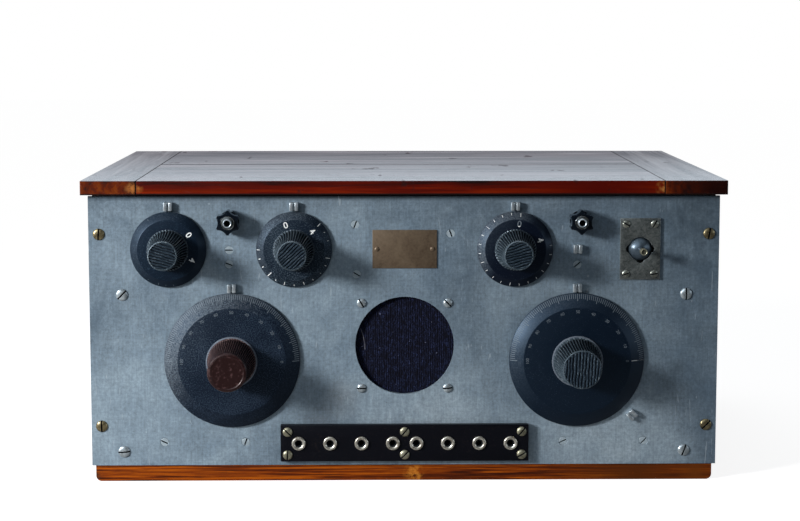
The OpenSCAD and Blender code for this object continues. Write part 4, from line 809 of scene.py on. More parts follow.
def pressFlutes(piece, flutes, low, high, depth):
    # pushes every second pair of lines round the grip inwards
    step = math.tau / (flutes * 4)

    def inGroove(co):
        return low * mm - 1e-6 <= co.z <= high * mm + 1e-6 and round(math.atan2(co.y, co.x) / step) % 4 in (2, 3)

    squeeze(piece, inGroove, (1 - depth, 1 - depth, 1))
    smooth(piece, 22)


def fluteTones(piece, flutes, low, high, land, groove):
    # the floor of each flute takes a near-black look, a painted shade in the recess, darker than the lands between
    # them
    step = math.tau / (flutes * 4)

    def onFloor(c, normal):
        return low < c.z < high and math.floor(math.atan2(c.y, c.x) / step) % 4 in (1, 2)

    twoTone(piece, land, groove, onFloor)


def ridgedCap(radius, pitch, low, high, turn, deep, waver):
    # disc whose top is a row of wavering ridges, cut round
    wide = 2.1 * radius
    columns = int(wide / pitch) * 4
    step = wide / columns
    clear()
    bpy.ops.mesh.primitive_grid_add(x_subdivisions=columns, y_subdivisions=28, size=1, location=(0, 0, high * mm))
    sheet = fresh("cap", (wide * mm, wide * mm, 1))
    lift(sheet, lambda co: round((co.x / mm + wide / 2) / step) % 4 in (0, 1), -deep)
    # the grooves between the ridges take the near-black look: painted shade
    twoTone(sheet, "capLand", "knobGroove", lambda c, normal: math.floor((c.x + wide / 2) / step) % 4 == 0)
    bend = bpy.data.textures.new("bend", "CLOUDS")
    bend.noise_scale = 0.006
    for direction, strength in (("X", waver), ("Z", deep * 0.5)):
        modify(sheet, "DISPLACE", texture=bend, direction=direction, strength=strength * 2 * mm)
    applyAll(sheet)
    pick(sheet)
    mode("EDIT")
    bpy.ops.mesh.select_all(action="SELECT")
    bpy.ops.mesh.extrude_region_move(TRANSFORM_OT_translate={"value": (0, 0, (low - high) * mm)})
    mode("OBJECT")
    closeUp(sheet)
    cut(sheet, rod("cutter", radius, low - 6, high, 96), "INTERSECT")
    smooth(sheet, 25)
    return settle(sheet, spin(turn))


def makeSmallKnobs():
    sizes = {"foot": 15, "top": 10.6, "high": 30, "flutes": 42, "depth": 0.075, "ridge": 1.8,
             "ridgeTurns": [73, -48, -75]}
    start = smallDials["gap"] + smallDials["thick"]
    top, r = start + sizes["high"], sizes["top"]
    rings = [(3.2, start + 0.02), (14.6, start + 0.02), (15, start + 0.3)]
    rings += flare(sizes["foot"], r, start + 0.6, top - 2.4, 2.1)
    rings += [(r, top - 1.9), (r - 0.12, top - 0.9), (r - 0.45, top - 0.35), (r - 0.9, top - 0.2),
              (r - 1.15, top - 0.5), (r - 1.2, top - 1.3)]
    body = turned("knobMaster", rings, sizes["flutes"] * 4)
    pressFlutes(body, sizes["flutes"], start + 0.5, top - 1.85, sizes["depth"])
    fluteTones(body, sizes["flutes"], start + 0.7, top - 1.9, "knobBlack", "knobGroove")
    for n, ((x, z), turn) in enumerate(zip(smallDials["places"], smallDials["turns"]), 1):
        cap = ridgedCap(r - 1.25, sizes["ridge"], top - 2.6, top, sizes["ridgeTurns"][n - 1] - turn, 0.9, 0.9)
        knob = settle(join(f"smallKnob{n}", [copyOf(body, "grip"), cap]), onPanel(x, z, 0, turn))
        stand(knob, f"small_dial_{n}", "knob_black", None, f"small_knob_{n}")
    bpy.data.objects.remove(body)


def makeTuningKnobs():
    # the left knob is plain brown with a hollow top, the right one black with a ridged top
    sizes = {"foot": 17, "top": 14, "ridge": 2.2, "left": {"high": 38, "flutes": 62, "depth": 0.045},
             "right": {"high": 31, "flutes": 48, "depth": 0.065}}
    start = tuningDials["gap"] + tuningDials["thick"]
    for side, place in zip(("left", "right"), tuningDials["places"]):
        own, brown = sizes[side], side == "left"
        top, flutes = start + own["high"], own["flutes"]
        rings = [(3.2, start + 0.02), (18.3, start + 0.02), (18.6, start + 0.3), (18.6, start + 1.0),
                 (18.3, start + 1.35), (17.6, start + 1.5)]
        rings += flare(sizes["foot"], sizes["top"], start + 1.7, top - 2.5, 1.8)
        if brown:
            rings += [(14, top - 1.8), (13.85, top - 1.0), (13.3, top - 0.35), (12.6, top - 0.05), (11.8, top),
                      (11.3, top - 0.25), (3, top - 0.3)]
        else:
            rings += [(14, top - 2.0), (13.85, top - 1.1), (13.5, top - 0.6), (13.15, top - 0.5),
                      (12.95, top - 0.7), (12.85, top - 1.5)]
        body = turned(f"tuningKnob_{side}", rings, flutes * 4)
        pressFlutes(body, flutes, start + 1.65, top - 1.95, own["depth"])
        fluteTones(body, flutes, start + 1.7, top - 2.0,
                   *(("brownLand", "brownGroove") if brown else ("knobBlack", "knobGroove")))
        for look in ("flangeGrey", "knobBrown"):
            body.data.materials.append(looks[look])
        for f in body.data.polygons:
            c = f.center / mm
            if start + 0.4 < c.z < start + 1.5 and c.xy.length > 17.5:
                f.material_index = 2
            elif brown and c.z > top - 1.95:
                f.material_index = 3
        if not brown:
            cap = ridgedCap(12.8, sizes["ridge"], top - 2.8, top, -3, 0.75, 1.0)
            body = join(f"tuningKnob_{side}", [body, cap])
        settle(body, onPanel(*place))
        stand(body, f"tuning_{side}", "knob_brown" if brown else "knob_black", None, f"tuning_knob_{side}")


makeSmallKnobs()
makeTuningKnobs()
print("knobs made")


# ---- screws

def slottedScrew(sizes, look):
    # domed head with a sawn slot, on a plain shank
    radius, high, slot, low = sizes["radius"], sizes["high"], sizes["slot"], 0.16
    rings = [(1.45, -sizes["long"]), (1.45, 0.02), (radius - 0.08, 0.02), (radius, low)]
    for k in range(1, 8):
        a = math.radians(90 * k / 8)
        rings.append((max(radius * math.cos(a) ** 0.8, 0.25), low + (high - low) * math.sin(a)))
    head = turned("master", rings, 40)
    cut(head, block("cutter", radius * 4, slot, high * 0.25, high * 3))
    roundEdges(head, 0.06, 2, 50)
    smooth(head, 30)
    # the slot's walls and floor take a near-black look: painted shade
    twoTone(head, look, "filedGap", lambda c, normal: abs(c.y) < slot * 0.51 and 0.1 < c.z < high * 0.8)
    return head


def hexNut(radius, bore, high, back):
    # chamfered nut whose front sits at a depth behind the panel's face
    return turned("nutMaster", [
        (bore, -back), (radius - 0.3, -back), (radius, -back - 0.3), (radius, 0.3 - back - high),
        (radius - 0.3, -back - high), (bore, -back - high),
    ], 6, 20, loop=True)


def setPieces(name, master, places, out=0):
    # a row of copies of the master, (x, z, turn) each, made one piece
    made = [settle(copyOf(master, "copy"), onPanel(x, z, out, turn)) for x, z, turn in places]
    bpy.data.objects.remove(master)
    return join(name, made)


def setScrews(name, sizes, places, slotName, look, node):
    row = setPieces(name, slottedScrew(sizes, look), places, sizes.get("out", 0))
    if "nutBack" in sizes:
        nuts = setPieces("nuts", hexNut(**screwNut, back=sizes["nutBack"]), [(x, z, 20) for x, z, turn in places])
        row = join(name, [row, nuts])
    stand(row, "cabinet", slotName, look, node)


def makeScrews():
    setScrews("brassWoodScrews", {"radius": 4.3, "high": 1.7, "slot": 1.2, "long": 20},
              [(-221, 29.2, 90), (-221, 170.4, 85), (221, 29.2, 45), (221, 170.4, 80)], "brass", "brass",
              "panel_wood_screws")
    setScrews("grilleScrews", {"radius": 3.5, "high": 1.7, "slot": 1.1, "long": 10.4, "nutBack": 7.2},
              [(-31.4, 57, 0), (-31.4, 119.8, 120), (31.4, 57, 5), (31.4, 119.8, 135)], "nickel", "steel",
              "grille_screws")
    setScrews("stripScrews", {"radius": 3.6, "high": 1.7, "slot": 1.0, "out": 5, "long": 8.2},
              [(-85.4, 25.7, 135), (0, 25.7, 50), (85.4, 25.7, 50), (-85.4, 8.7, 85), (0, 8.7, 45),
               (85.4, 8.7, 30)],
              "brass", "paleBrass", "strip_screws")
    x, z, across, up = 170.8, 159.4, 10.25, 18.2
    setScrews("plateScrews", {"radius": 2.9, "high": 1.2, "slot": 0.9, "out": 1.6, "long": 9.7, "nutBack": 5.2},
              [(x - across, z + up, 150), (x + across, z + up, 60), (x - across, z - up, 20),
               (x + across, z - up, 10)],
              "steel", "plateScrew", "switch_plate_screws")


def makeBracketScrews():
    # round heads that hold the two brackets and the screws in their feet
    sizes = {"radius": 4.4, "high": 1.7, "slot": 1.1, "x": 205, "upZ": 126.2, "lowZ": 10.2,
             "footY": (-119, -97), "footZ": 34.5}
    x, upZ, lowZ = sizes["x"], sizes["upZ"], sizes["lowZ"]
    high = setPieces("high", slottedScrew(dict(sizes, long=8.9), "steel"), [(-x, upZ, 45), (x, upZ, 90)])
    low = setPieces("low", slottedScrew(dict(sizes, long=16), "steel"), [(-x, lowZ, 5), (x, lowZ, 70)])
    nuts = setPieces("nuts", hexNut(**screwNut, back=5.7), [(-x, upZ, 12), (x, upZ, 33)])
    foot = slottedScrew({"radius": 2.8, "high": 1.2, "slot": 0.7, "long": 10}, "steel")
    feet = copies(foot, "feet", [(side * x, y, sizes["footZ"]) for side in (-1, 1) for y in sizes["footY"]])
    stand(join("bracketScrews", [high, low, nuts, feet]), "cabinet", "steel", "steel", "panel_steel_screws")


def makeFlushScrews():
    # ten heads filed flush with the panel: four long wood screws at its foot, six short ones with nuts
    sizes = {"radius": 3.0, "deep": 2.0, "slot": 0.95, "slotDeep": 0.8,
             "foot": [(-175.4, 17.2, 155), (-116.2, 17.2, 70), (116.2, 17.2, 25), (175.4, 17.2, 45)],
             "upper": [(-127, 158.7, 0), (-127.2, 148.4, 160), (-35.8, 177.3, 70), (-34.8, 140.9, 150),
                       (33.4, 170.7, 110), (125.4, 147.8, 40)]}

    def flushScrew(long):
        r = sizes["radius"]
        head = turned("master", [(1.45, -long), (1.45, -sizes["deep"]), (r, -0.14), (r - 0.14, 0.0),
                                 (0.4, 0.005)], 40)
        cut(head, block("cutter", 12, sizes["slot"], -sizes["slotDeep"], 2))
        smooth(head, 25)
        # the slot and the sunk sides below the face take a near-black look: painted shade
        twoTone(head, "filedSteel", "filedGap", lambda c, normal: c.z < -0.2)
        return head

    foot = setPieces("foot", flushScrew(16), sizes["foot"])
    upper = setPieces("upper", flushScrew(6.9), sizes["upper"])
    nuts = setPieces("nuts", hexNut(**screwNut, back=3.2), [(x, z, x) for x, z, turn in sizes["upper"]])
    stand(join("flushScrews", [foot, upper, nuts]), "cabinet", "steel")


def makeBackScrews():
    # countersunk heads along the edges of the back board
    sizes = {"x": 205, "z": (196, 111.6, 27), "footX": 75, "footZ": 24, "y": 137, "sunk": 0.75, "turnStep": 37}
    places = [(side * sizes["x"], z) for side in (-1, 1) for z in sizes["z"]]
    places += [(side * sizes["footX"], sizes["footZ"]) for side in (-1, 1)]
    master = slottedScrew({"radius": 3.9, "high": 1.1, "slot": 1.0, "long": 14}, "brass")
    made = []
    for k, (x, z) in enumerate(places):
        place = shift(x, sizes["y"], z) @ spin(-90, "X") @ spin(sizes["turnStep"] * k) @ shift(0, 0, -sizes["sunk"])
        made.append(settle(copyOf(master, "copy"), place))
    bpy.data.objects.remove(master)
    stand(join("backScrews", made), "cabinet", "brass")


def copies(master, name, places):
    made = [settle(copyOf(master, "copy"), shift(*spot)) for spot in places]
    bpy.data.objects.remove(master)
    return join(name, made)


makeScrews()
makeBracketScrews()
makeFlushScrews()
makeBackScrews()
print("screws made")


# ---- flat fittings on the panel

def makeNamePlate():
    sizes = {"width": 46.7, "high": 28, "thick": 0.8, "z": 159.4, "rivet": 1.75, "rivetIn": 3.2}
    plate = block("brassPlate", sizes["width"], sizes["high"], 0.02, sizes["thick"])
    choose(plate, lambda co: co.z > 0.5 * mm)
    bpy.ops.mesh.subdivide(number_cuts=1)
    mode("OBJECT")
    roundEdges(plate, 0.25, 3)
    smooth(plate, 30)
    stand(settle(plate, onPanel(0, sizes["z"])), "cabinet", "brass", "plateBrass", "name_plate")
    rings = [(1.1, -3.2), (1.1, sizes["thick"]), (sizes["rivet"], sizes["thick"]), (sizes["rivet"], 0.9),
             (1.55, 1.15), (1.1, 1.38), (0.5, 1.48)]
    side = sizes["width"] / 2 - sizes["rivetIn"]
    row = setPieces("plateRivets", turned("master", rings, 24, 40), [(-side, sizes["z"], 0), (side, sizes["z"], 0)])
    stand(row, "cabinet", "brass", "plateBrass", "plate_rivets")


def makeIndexBlocks():
    sizes = {"width": 6.2, "thick": 4, "slot": 1.3, "deep": 2.6,
             "places": [(-170.8, 190.6, 0), (-80, 190.6, 0), (80, 190.6, 0), (-125.4, 131, 0), (125.4, 131, 0),
                        (125.4, 159.4, 0), (166.4, 37, 45)]}
    one = block("master", sizes["width"], sizes["width"], 0.02, sizes["thick"])
    cut(one, block("cutter", sizes["slot"], 20, sizes["thick"] - sizes["deep"], 10))
    roundEdges(one, 0.45, 3)
    one = join("master", [one, rod("pin", 1.15, -3.2, 0.5, 20)])
    smooth(one, 30)
    stand(setPieces("indexBlocks", one, sizes["places"]), "cabinet", "nickel", "paleNickel", "index_blocks")


# where the eight sockets stand along the strip
socketPlaces = [side * (8.6 + 22.9 * n) for side in (-1, 1) for n in range(4)]


def makeSocketStrip():
    sizes = {"width": 181, "high": 27, "thick": 5, "z": 17.2, "hole": 3.05, "screwX": 85.4, "screwY": 8.5,
             "screwHole": 1.6}
    strip = block("socketStrip", sizes["width"], sizes["high"], 0.02, sizes["thick"])
    roundEdges(strip, 0.45, 3)
    for x in socketPlaces:
        cut(strip, rod("cutter", sizes["hole"], -2, 8, 48, (x, 0)))
    for x in (-sizes["screwX"], 0, sizes["screwX"]):
        for y in (-sizes["screwY"], sizes["screwY"]):
            cut(strip, rod("cutter", sizes["screwHole"], -2, 8, 24, (x, y)))
    smooth(strip, 30)
    stand(settle(strip, onPanel(0, sizes["z"])), "cabinet", "ebonite", "ebonite", "socket_strip")


makeNamePlate()
makeIndexBlocks()
makeSocketStrip()
print("flat fittings made")


# ---- sockets and terminals

def makeSockets():
    sizes = {"thick": 1.6, "z": 17.2, "strip": 5}
    foot, front = sizes["strip"] + 0.01, sizes["strip"] + sizes["thick"]
    socket = turned("socketMaster", [
        (2.8, -14.2), (3.0, -14.0), (3.0, foot), (5.1, foot), (5.1, front - 0.7), (4.9, front - 0.3),
        (4.5, front - 0.05), (4.1, front), (3.5, front - 0.12), (2.8, front - 0.6), (2.2, front - 1.2),
        (2.0, front - 1.6), (2.0, front - 14), (0.3, front - 14.2),
    ], 56, 40)
    # the bore is painted near black: painted shade inside the hole
    twoTone(socket, "socketNickel", "bore", lambda c, normal: c.xy.length < 2.5 and -8 < c.z < front - 0.7)
    row = setPieces("sockets", socket, [(x, sizes["z"], 0) for x in socketPlaces])
    nuts = setPieces("nuts", hexNut(4.9, 3.02, 2.2, 0.02),
                     [(x, sizes["z"], 15 * (n % 4)) for n, x in enumerate(socketPlaces)])
    stand(join("socketRow", [row, nuts]), "cabinet", "nickel", None, "sockets")


def makeTerminals():
    sizes = {"points": 8.9, "high": 10, "foot": 2.3, "hollowR": 7, "hollowDeep": 1.9, "bore": 5.05, "x": 127,
             "z": 179.9}
    foot, top = sizes["foot"], sizes["foot"] + sizes["high"]
    star = rod("starMaster", sizes["points"], foot, top, 96)
    for k in range(6):
        cut(star, rod("cutter", sizes["hollowR"], 0, 20, 64,
                      polar(sizes["points"] - sizes["hollowDeep"] + sizes["hollowR"], 60 * k)))
    roundEdges(star, 0.8, 3, 50)
    cut(star, rod("cutter", sizes["bore"], 0, 20, 64))
    smooth(star, 35)
    ring = turned("ringMaster", [
        (3.35, foot), (4.95, foot), (4.95, top + 0.55), (4.8, top + 0.8), (4.55, top + 0.75), (4.35, top + 0.3),
        (4.3, top - 1.2), (3.35, top - 1.5),
    ], 64, 40, loop=True)
    stud = turned("studMaster", [
        (3.25, -18), (3.25, 15.2), (3.0, 15.8), (2.7, 16), (2.3, 15.8), (2.05, 15.3), (2.0, 14.6), (2.0, 2),
        (0.4, 1.9),
    ], 56, 40)
    # the bore is painted near black: painted shade inside the hole
    twoTone(stud, "paleNickel", "bore", lambda c, normal: c.xy.length < 2.2 and 0 < c.z < 15.6)
    studs = []
    for side, x in (("left", -sizes["x"]), ("right", sizes["x"])):
        nut = settle(copyOf(star, f"starNut_{side}"), onPanel(x, sizes["z"]))
        stand(nut, f"terminal_{side}", "ebonite", "starBlack", f"terminal_nut_{side}")
        insert = settle(copyOf(ring, f"starRing_{side}"), onPanel(x, sizes["z"]))
        stand(insert, f"terminal_{side}", "nickel", "nickel", f"terminal_ring_{side}")
        studs.append(settle(copyOf(stud, "copy"), onPanel(x, sizes["z"])))
    stand(join("terminalStuds", studs), "cabinet", "nickel", None, "terminal_studs")
    for master in (star, ring, stud):
        bpy.data.objects.remove(master)


makeSockets()
makeTerminals()
print("sockets and terminals made")


# ---- switch

def makeSwitch():
    sizes = {"x": 170.8, "z": 159.4, "width": 29.1, "high": 44.8, "thick": 1.6, "core": 8.68, "lobe": 3.2,
             "lobeAt": 7.2,
             "ball": 9.5, "pivot": -4.5, "stem": 1.9, "out": 19.5, "tipLong": 6}
    here, out = onPanel(sizes["x"], sizes["z"]), sizes["out"]
    plate = block("switchPlate", sizes["width"], sizes["high"], 0, sizes["thick"])
    cut(plate, rod("cutter", sizes["core"], -2, 4, 72))
    for a in (0, 180, 270):
        cut(plate, rod("cutter", sizes["lobe"], -2, 4, 40, polar(sizes["lobeAt"], a)))
    roundEdges(plate, 0.6, 2, 40)
    smooth(plate, 30)
    # the sloped edges of the plate take a paler nickel: a painted highlight
    twoTone(plate, "plateNickel", "paleNickel", lambda c, normal: 0.2 < normal.z < 0.95 and c.z > 0.8)
    stand(settle(plate, here), "cabinet", "plate_steel", None, "switch_plate")
    clear()
    bpy.ops.mesh.primitive_uv_sphere_add(segments=64, ring_count=32, radius=sizes["ball"] * mm,
                                         location=(0, 0, sizes["pivot"] * mm))
    ball = fresh("ball")
    stem = turned("stem", [(2.6, 3.5), (2.3, 5.3), (sizes["stem"], 6.2),
                           (sizes["stem"], out - sizes["tipLong"])], 40)
    lever = join("switchLever", [ball, stem, rod("tail", 2, sizes["pivot"] - 22.5, sizes["pivot"] - 8, 32)])
    smooth(lever, 40)
    stand(settle(lever, here), "switch_lever", "nickel", "ballSteel", "switch_lever")
    tip = turned("leverTip", [
        (2.0, out - 6), (2.45, out - 5.7), (2.45, out - 0.4), (2.3, out - 0.1), (2.0, out), (1.75, out - 0.2),
        (1.3, out - 0.7), (0.3, out - 0.8),
    ], 40, 40)
    twoTone(tip, "paleBrass", "dish", lambda c, normal: c.xy.length < 1.72 and c.z > out - 1.2)
    stand(settle(tip, here), "switch_lever", "brass", None, "lever_tip")


makeSwitch()
print("switch made")


# ---- grille cloth

def makeGrilleCloth():
    sizes = {"radius": 40.4, "rib": 1.6, "high": 0.2, "thick": 0.5, "z": 88.4, "behind": 3.4}
    wide = 2 * sizes["radius"]
    columns = int(wide / sizes["rib"]) * 4
    clear()
    bpy.ops.mesh.primitive_grid_add(x_subdivisions=columns, y_subdivisions=40, size=1)
    cloth = fresh("grilleCloth", (wide * mm, wide * mm, 1))
    for line, height in ((2, sizes["high"]), (0, -sizes["high"])):
        lift(cloth, lambda co: round((co.x / mm + wide / 2) / wide * columns) % 4 == line, height)
    modify(cloth, "SOLIDIFY", thickness=sizes["thick"] * mm, offset=-1)
    applyAll(cloth)
    cut(cloth, rod("cutter", sizes["radius"], -3, 3, 96), "INTERSECT")
    smooth(cloth, 60)
    settle(cloth, onPanel(0, sizes["z"], -sizes["behind"]))
    stand(cloth, "cabinet", "cloth", "cloth", "grille_cloth")


makeGrilleCloth()
print("cloth made")


# ---- pieces inside the case, on the chassis board

chassis = 32


def makeValves():
    # blown bulb with a silvered crown over the pinch, supports and anode; base and holder below
    sizes = {"x": (-135, -45, 45, 135), "y": 80, "glass": 74.3, "wall": 0.9, "pin": 7,
             "bulb": [(14.5, 0), (15.3, 2.4), (16.9, 7.3), (18.9, 14.6), (20.3, 21.9), (20.9, 28), (20.95, 31),
                      (20.6, 36.4), (19.6, 43.7), (17.4, 51), (14.0, 58.3), (10.4, 62.6), (6.4, 65.8), (3.2, 67.2),
                      (0.3, 67.9)]}
    wall = sizes["wall"]
    places = [(x, sizes["y"], sizes["glass"]) for x in sizes["x"]]
    inside = [(max(r - wall, 0.25), max(h - wall, 0)) for r, h in sizes["bulb"]]
    bulb = turned("bulbMaster", sizes["bulb"] + inside[::-1], 64, 40, loop=True)
    stand(copies(bulb, "valveBulbs", places), "cabinet", "glass", "glass", "valve_bulbs")
    crown = [(max(r - 0.25, 0.4), h - 0.2) for r, h in inside if h > 42]
    shell = turned("crownMaster", crown + [(max(r - 0.1, 0.15), h - 0.1) for r, h in crown[::-1]], 64, 40,
                   loop=True)
    stand(copies(shell, "valveSilver", places), "cabinet", "nickel", "silvering")
    pinch = turned("pinch", [(12.8, 0.05), (12.6, 1.2), (6.2, 3.4), (5.0, 8), (4.2, 16), (2.4, 22),
                             (0.6, 22.6)], 40)
    squeeze(pinch, lambda co: co.z > 15 * mm, (1.7, 0.5, 1))
    smooth(pinch, 40)
    stand(copies(pinch, "valvePinches", places), "cabinet", "glass", "glass")
    anode = [turned("anode", [(7.0, 27), (7.0, 41), (6.75, 41), (6.75, 27)], 48, loop=True)]
    for h in (27.0, 34.0, 40.4):
        anode.append(turned("hoop", [(6.9, h), (7.35, h), (7.35, h + 0.6), (6.9, h + 0.6)], 48, loop=True))
    anode = join("anode", anode)
    squeeze(anode, lambda co: True, (1.25, 0.72, 1))
    supports = [rod("support", 0.4, 19, 44 if abs(x) > 5 else 42, 12, (x, 0)) for x in (-9.1, -4.2, 4.2, 9.1)]
    filaments = [rod("filament", 0.16, 21, 41, 8, (x, 0)) for x in (-1.89, 0, 1.89)]
    inner = join("valveFrame", [anode] + supports + filaments)
    smooth(inner, 30)
    stand(copies(inner, "valveFrames", places), "cabinet", "nickel", "nickel")
    base = turned("baseMaster", [
        (16.1, 14.3), (16.5, 14.7), (16.5, 36), (16.2, 36.5), (16.2, 37.3), (16.5, 37.8), (16.5, 41.2),
        (16.1, 41.8), (15.2, 42.2), (14.2, 42.3), (13.4, 41.6), (13.4, 30), (3, 29.6),
    ], 64)
    holder = turned("holderMaster", [
        (19.3, 0), (20, 0.7), (20, 3.4), (18.4, 4.4), (18.4, 11.6), (19.4, 12.4), (19.4, 13.4), (18.9, 14), (6, 14),
        (5.4, 13.2),
    ], 64)
    pinPlaces = [polar(sizes["pin"], 45 + 90 * k) for k in range(4)]
    for spot in pinPlaces:
        cut(holder, rod("cutter", 2.2, 11, 16, 20, spot))
    seat = join("valveSeat", [base, holder] + [rod("pin", 1.6, 12, 15, 16, spot) for spot in pinPlaces])
    smooth(seat, 35)
    seats = copies(seat, "valveSeats", [(x, sizes["y"], chassis) for x in sizes["x"]])
    stand(seats, "cabinet", "ebonite", "case", "valve_bases")


def makeCoils():
    # cotton-covered wire wound on card tubes in two bands
    sizes = {"x": (-147.4, 147.4), "y": 4, "radius": 27, "bore": 24.6, "wire": 1.15,
             "bands": [(15.2, 37), (43.2, 63.6)]}
    wire = sizes["wire"]
    rings = [(sizes["bore"], 0.05), (sizes["radius"], 0.05)]
    for low, high in sizes["bands"]:
        turns = int((high - low) / wire)
        for h in (low + k * wire for k in range(turns)):
            rings += [(27.02, h + 0.02), (27.75, h + 0.2), (28.1, h + wire / 2), (27.75, h + wire - 0.2)]
        rings.append((27.02, low + turns * wire))
    rings += [(27, 73.6), (26.7, 74), (25, 74), (sizes["bore"], 73.6)]
    coil = turned("coilMaster", rings, 72, 40, loop=True)
    twoTone(coil, "card", "cotton", lambda c, normal: c.xy.length > 27.2)
    posts = [rod("post", 1.3, h - 1.3, h + 1.3, 16, polar(27.6, a)) for h in (9, 69.5) for a in (-100, -80)]
    for post in posts:
        post.data.materials.append(looks["nickel"])
    coil = join("coilMaster", [coil] + posts)
    pair = copies(coil, "tuningCoils", [(x, sizes["y"], chassis) for x in sizes["x"]])
    stand(pair, "cabinet", "coil_card", None, "tuning_coils")


def makePacks():
    # flat moulded condensers, each with two hexagon terminals
    sizes = {"x": (-90, 0, 90), "y": 74, "wide": 22, "long": 28, "high": 9, "postAt": 9}
    pack = block("packMaster", sizes["wide"], sizes["long"], 0, sizes["high"])
    cut(pack, block("cutter", 14, 9, sizes["high"] - 0.5, sizes["high"] + 2))
    roundEdges(pack, 0.9, 3)
    smooth(pack, 35)
    pack.data.materials.append(looks["former"])
    for side in (-1, 1):
        post = turned("post", [(2.4, 8.9), (2.4, 10.6), (1.9, 11), (0.4, 11)], 6)
        settle(post, shift(0, side * sizes["postAt"], 0))
        post.data.materials.append(looks["brass"])
        pack = join("packMaster", [pack, post])
    row = copies(pack, "fixedCondensers", [(x, sizes["y"], chassis) for x in sizes["x"]])
    stand(row, "cabinet", "former", None, "fixed_condensers")


def makeTransformerWindings():
    # paper-wrapped winding with cheeks at both ends of the middle limb
    sizes = {"x": (-42, 42), "y": 4, "low": 40.4, "high": 29.2, "wide": 32, "long": 41, "limb": 13.2, "deep": 22.2,
             "cheek": 1.2}
    wide, long, high, cheekHigh = sizes["wide"], sizes["long"], sizes["high"], sizes["cheek"]
    body = block("windingMaster", wide - 1.2, long - 1.2, cheekHigh, high - cheekHigh)
    roundEdges(body, 2.2, 4)
    body.data.materials.append(looks["wrap"])
    for low in (0, high - cheekHigh):
        cheek = block("cheek", wide, long, low, low + cheekHigh)
        roundEdges(cheek, 0.3, 2)
        cheek.data.materials.append(looks["former"])
        body = join("windingMaster", [body, cheek])
    cut(body, block("cutter", sizes["limb"], sizes["deep"], -2, high + 2))
    smooth(body, 30)
    pair = copies(body, "transformerWindings", [(x, sizes["y"], sizes["low"]) for x in sizes["x"]])
    stand(pair, "cabinet", "copper", None, "transformer_windings")


makeValves()
makeCoils()
makePacks()
makeTransformerWindings()
print("inner pieces made")


# ---- stage: floor, light and camera

def seenRays(tree):
    # one mask for rays from the camera, one for rays that gloss and glass send out
    path = tree.nodes.new("ShaderNodeLightPath")
    camera, gloss, glass = (Field(path.outputs[f"Is {kind} Ray"]) for kind in ("Camera", "Glossy", "Transmission"))
    return camera, most(gloss, glass)


def makeFloor():
    # pale near the object, white to the camera, with the object's shadow kept
    look = {"near": 0.42, "far": 0.04, "nearAt": -0.30, "farAt": -0.75, "white": 1.0}
    clear()
    bpy.ops.mesh.primitive_plane_add(size=12, location=(0, 0, -0.0003))
    floor = named("floor")
    material, tree = newMaterial("paleFloor")
    depth = axes(coord(tree))[1]
    tone = ramp(depth, look["nearAt"], look["farAt"], look["near"], look["far"])
    tone = tone.math("MINIMUM", ramp(depth, 0.3, 1.0, look["near"], look["far"]))
    camera, gloss = seenRays(tree)
    shown = camera * (look["white"] - tone * 0.3)
    mirrored = gloss * ramp(depth, -0.1, 0.3, 0.0, 0.7)
    floor.data.materials.append(paint(material, {
        "Base Color": tone, "Roughness": 0.95, "Specular IOR Level": 0.0, "Emission Color": (1, 1, 1, 1),
        "Emission Strength": shown + mirrored,
    }))


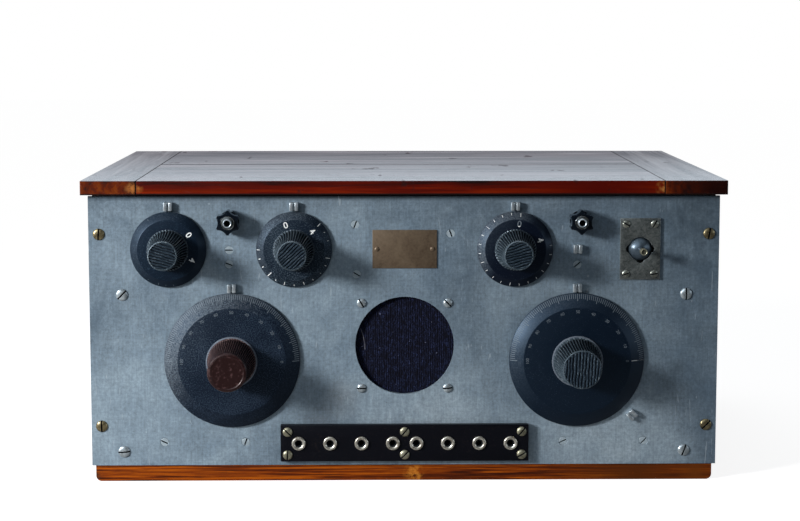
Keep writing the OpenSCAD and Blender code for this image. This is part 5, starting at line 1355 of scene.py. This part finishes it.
def makeWorld():
    # what the object mirrors: white behind it, bright at its sides and above, a lamp at the upper left,
    # a dim room in front
    look = {"diffuse": 0.16, "room": 0.03, "softbox": (-0.52, -0.66, 0.54), "cool": (0.80, 0.90, 1.0)}
    world = bpy.data.worlds.new("studio")
    bpy.context.scene.world = world
    world.use_nodes = True
    tree = world.node_tree
    camera, gloss = seenRays(tree)
    direction = coord(tree, "Generated")
    x, y, z = axes(direction)
    around = most(ramp(x, -0.45, -0.85, 0.0, 0.9), ramp(x, 0.5, 0.75, 0.0, 1.7) * ramp(abs(z - 0.10), 0.34, 0.12))
    around = most(around, ramp(distance(direction, look["softbox"]), 0.62, 0.25, 0.0, 2.6))
    around = most(most(ramp(y, -0.30, 0.30, look["room"], 1.0), around), ramp(z, 0.55, 0.95, 0.0, 0.6))
    strength = most(camera, gloss * around) + (1.0 - most(camera, gloss)) * look["diffuse"]
    background = tree.nodes["Background"].inputs
    feed(background["Strength"], strength)
    feed(background["Color"], blend(camera, look["cool"], (1, 1, 1)))


def addLamp(name, place, target, size, power):
    clear()
    bpy.ops.object.light_add(type="AREA", location=place)
    lamp = bpy.context.object
    lamp.name = name
    lamp.data.shape = "RECTANGLE"
    lamp.data.size = lamp.data.size_y = size
    lamp.data.energy = power
    lamp.rotation_euler = (Vector(target) - Vector(place)).to_track_quat("-Z", "Y").to_euler()


def makeCamera():
    view = {"place": (-0.0199, -1.312, 0.3331), "yaw": 0.805, "pitch": 5.442, "roll": 0.017, "lens": 73.53,
            "shiftY": -0.10}
    clear()
    bpy.ops.object.camera_add(location=view["place"])
    camera = bpy.context.object
    camera.name = "camera"
    yaw, pitch, roll = (math.radians(view[k]) for k in ("yaw", "pitch", "roll"))
    ahead = Vector((math.sin(yaw) * math.cos(pitch), math.cos(yaw) * math.cos(pitch), -math.sin(pitch)))
    right = Vector((math.cos(yaw), -math.sin(yaw), 0))
    up = right.cross(ahead)
    side = right * math.cos(roll) + up * math.sin(roll)
    top = up * math.cos(roll) - right * math.sin(roll)
    camera.rotation_euler = Matrix((side, top, -ahead)).transposed().to_euler()
    camera.data.sensor_width = 36
    camera.data.lens = view["lens"]
    camera.data.shift_y = view["shiftY"]
    camera.data.clip_end = 50
    bpy.context.scene.camera = camera


makeFloor()
makeWorld()
addLamp("keyLamp", (-1.20, -0.90, 0.57), (0, -0.138, 0.11), 0.28, 33)
addLamp("topLamp", (-0.3, 0.3, 1.6), (0, 0, 0.2), 1.0, 5)
makeCamera()
bpy.context.scene.view_settings.view_transform = "Standard"
print("stage, lights and camera made")
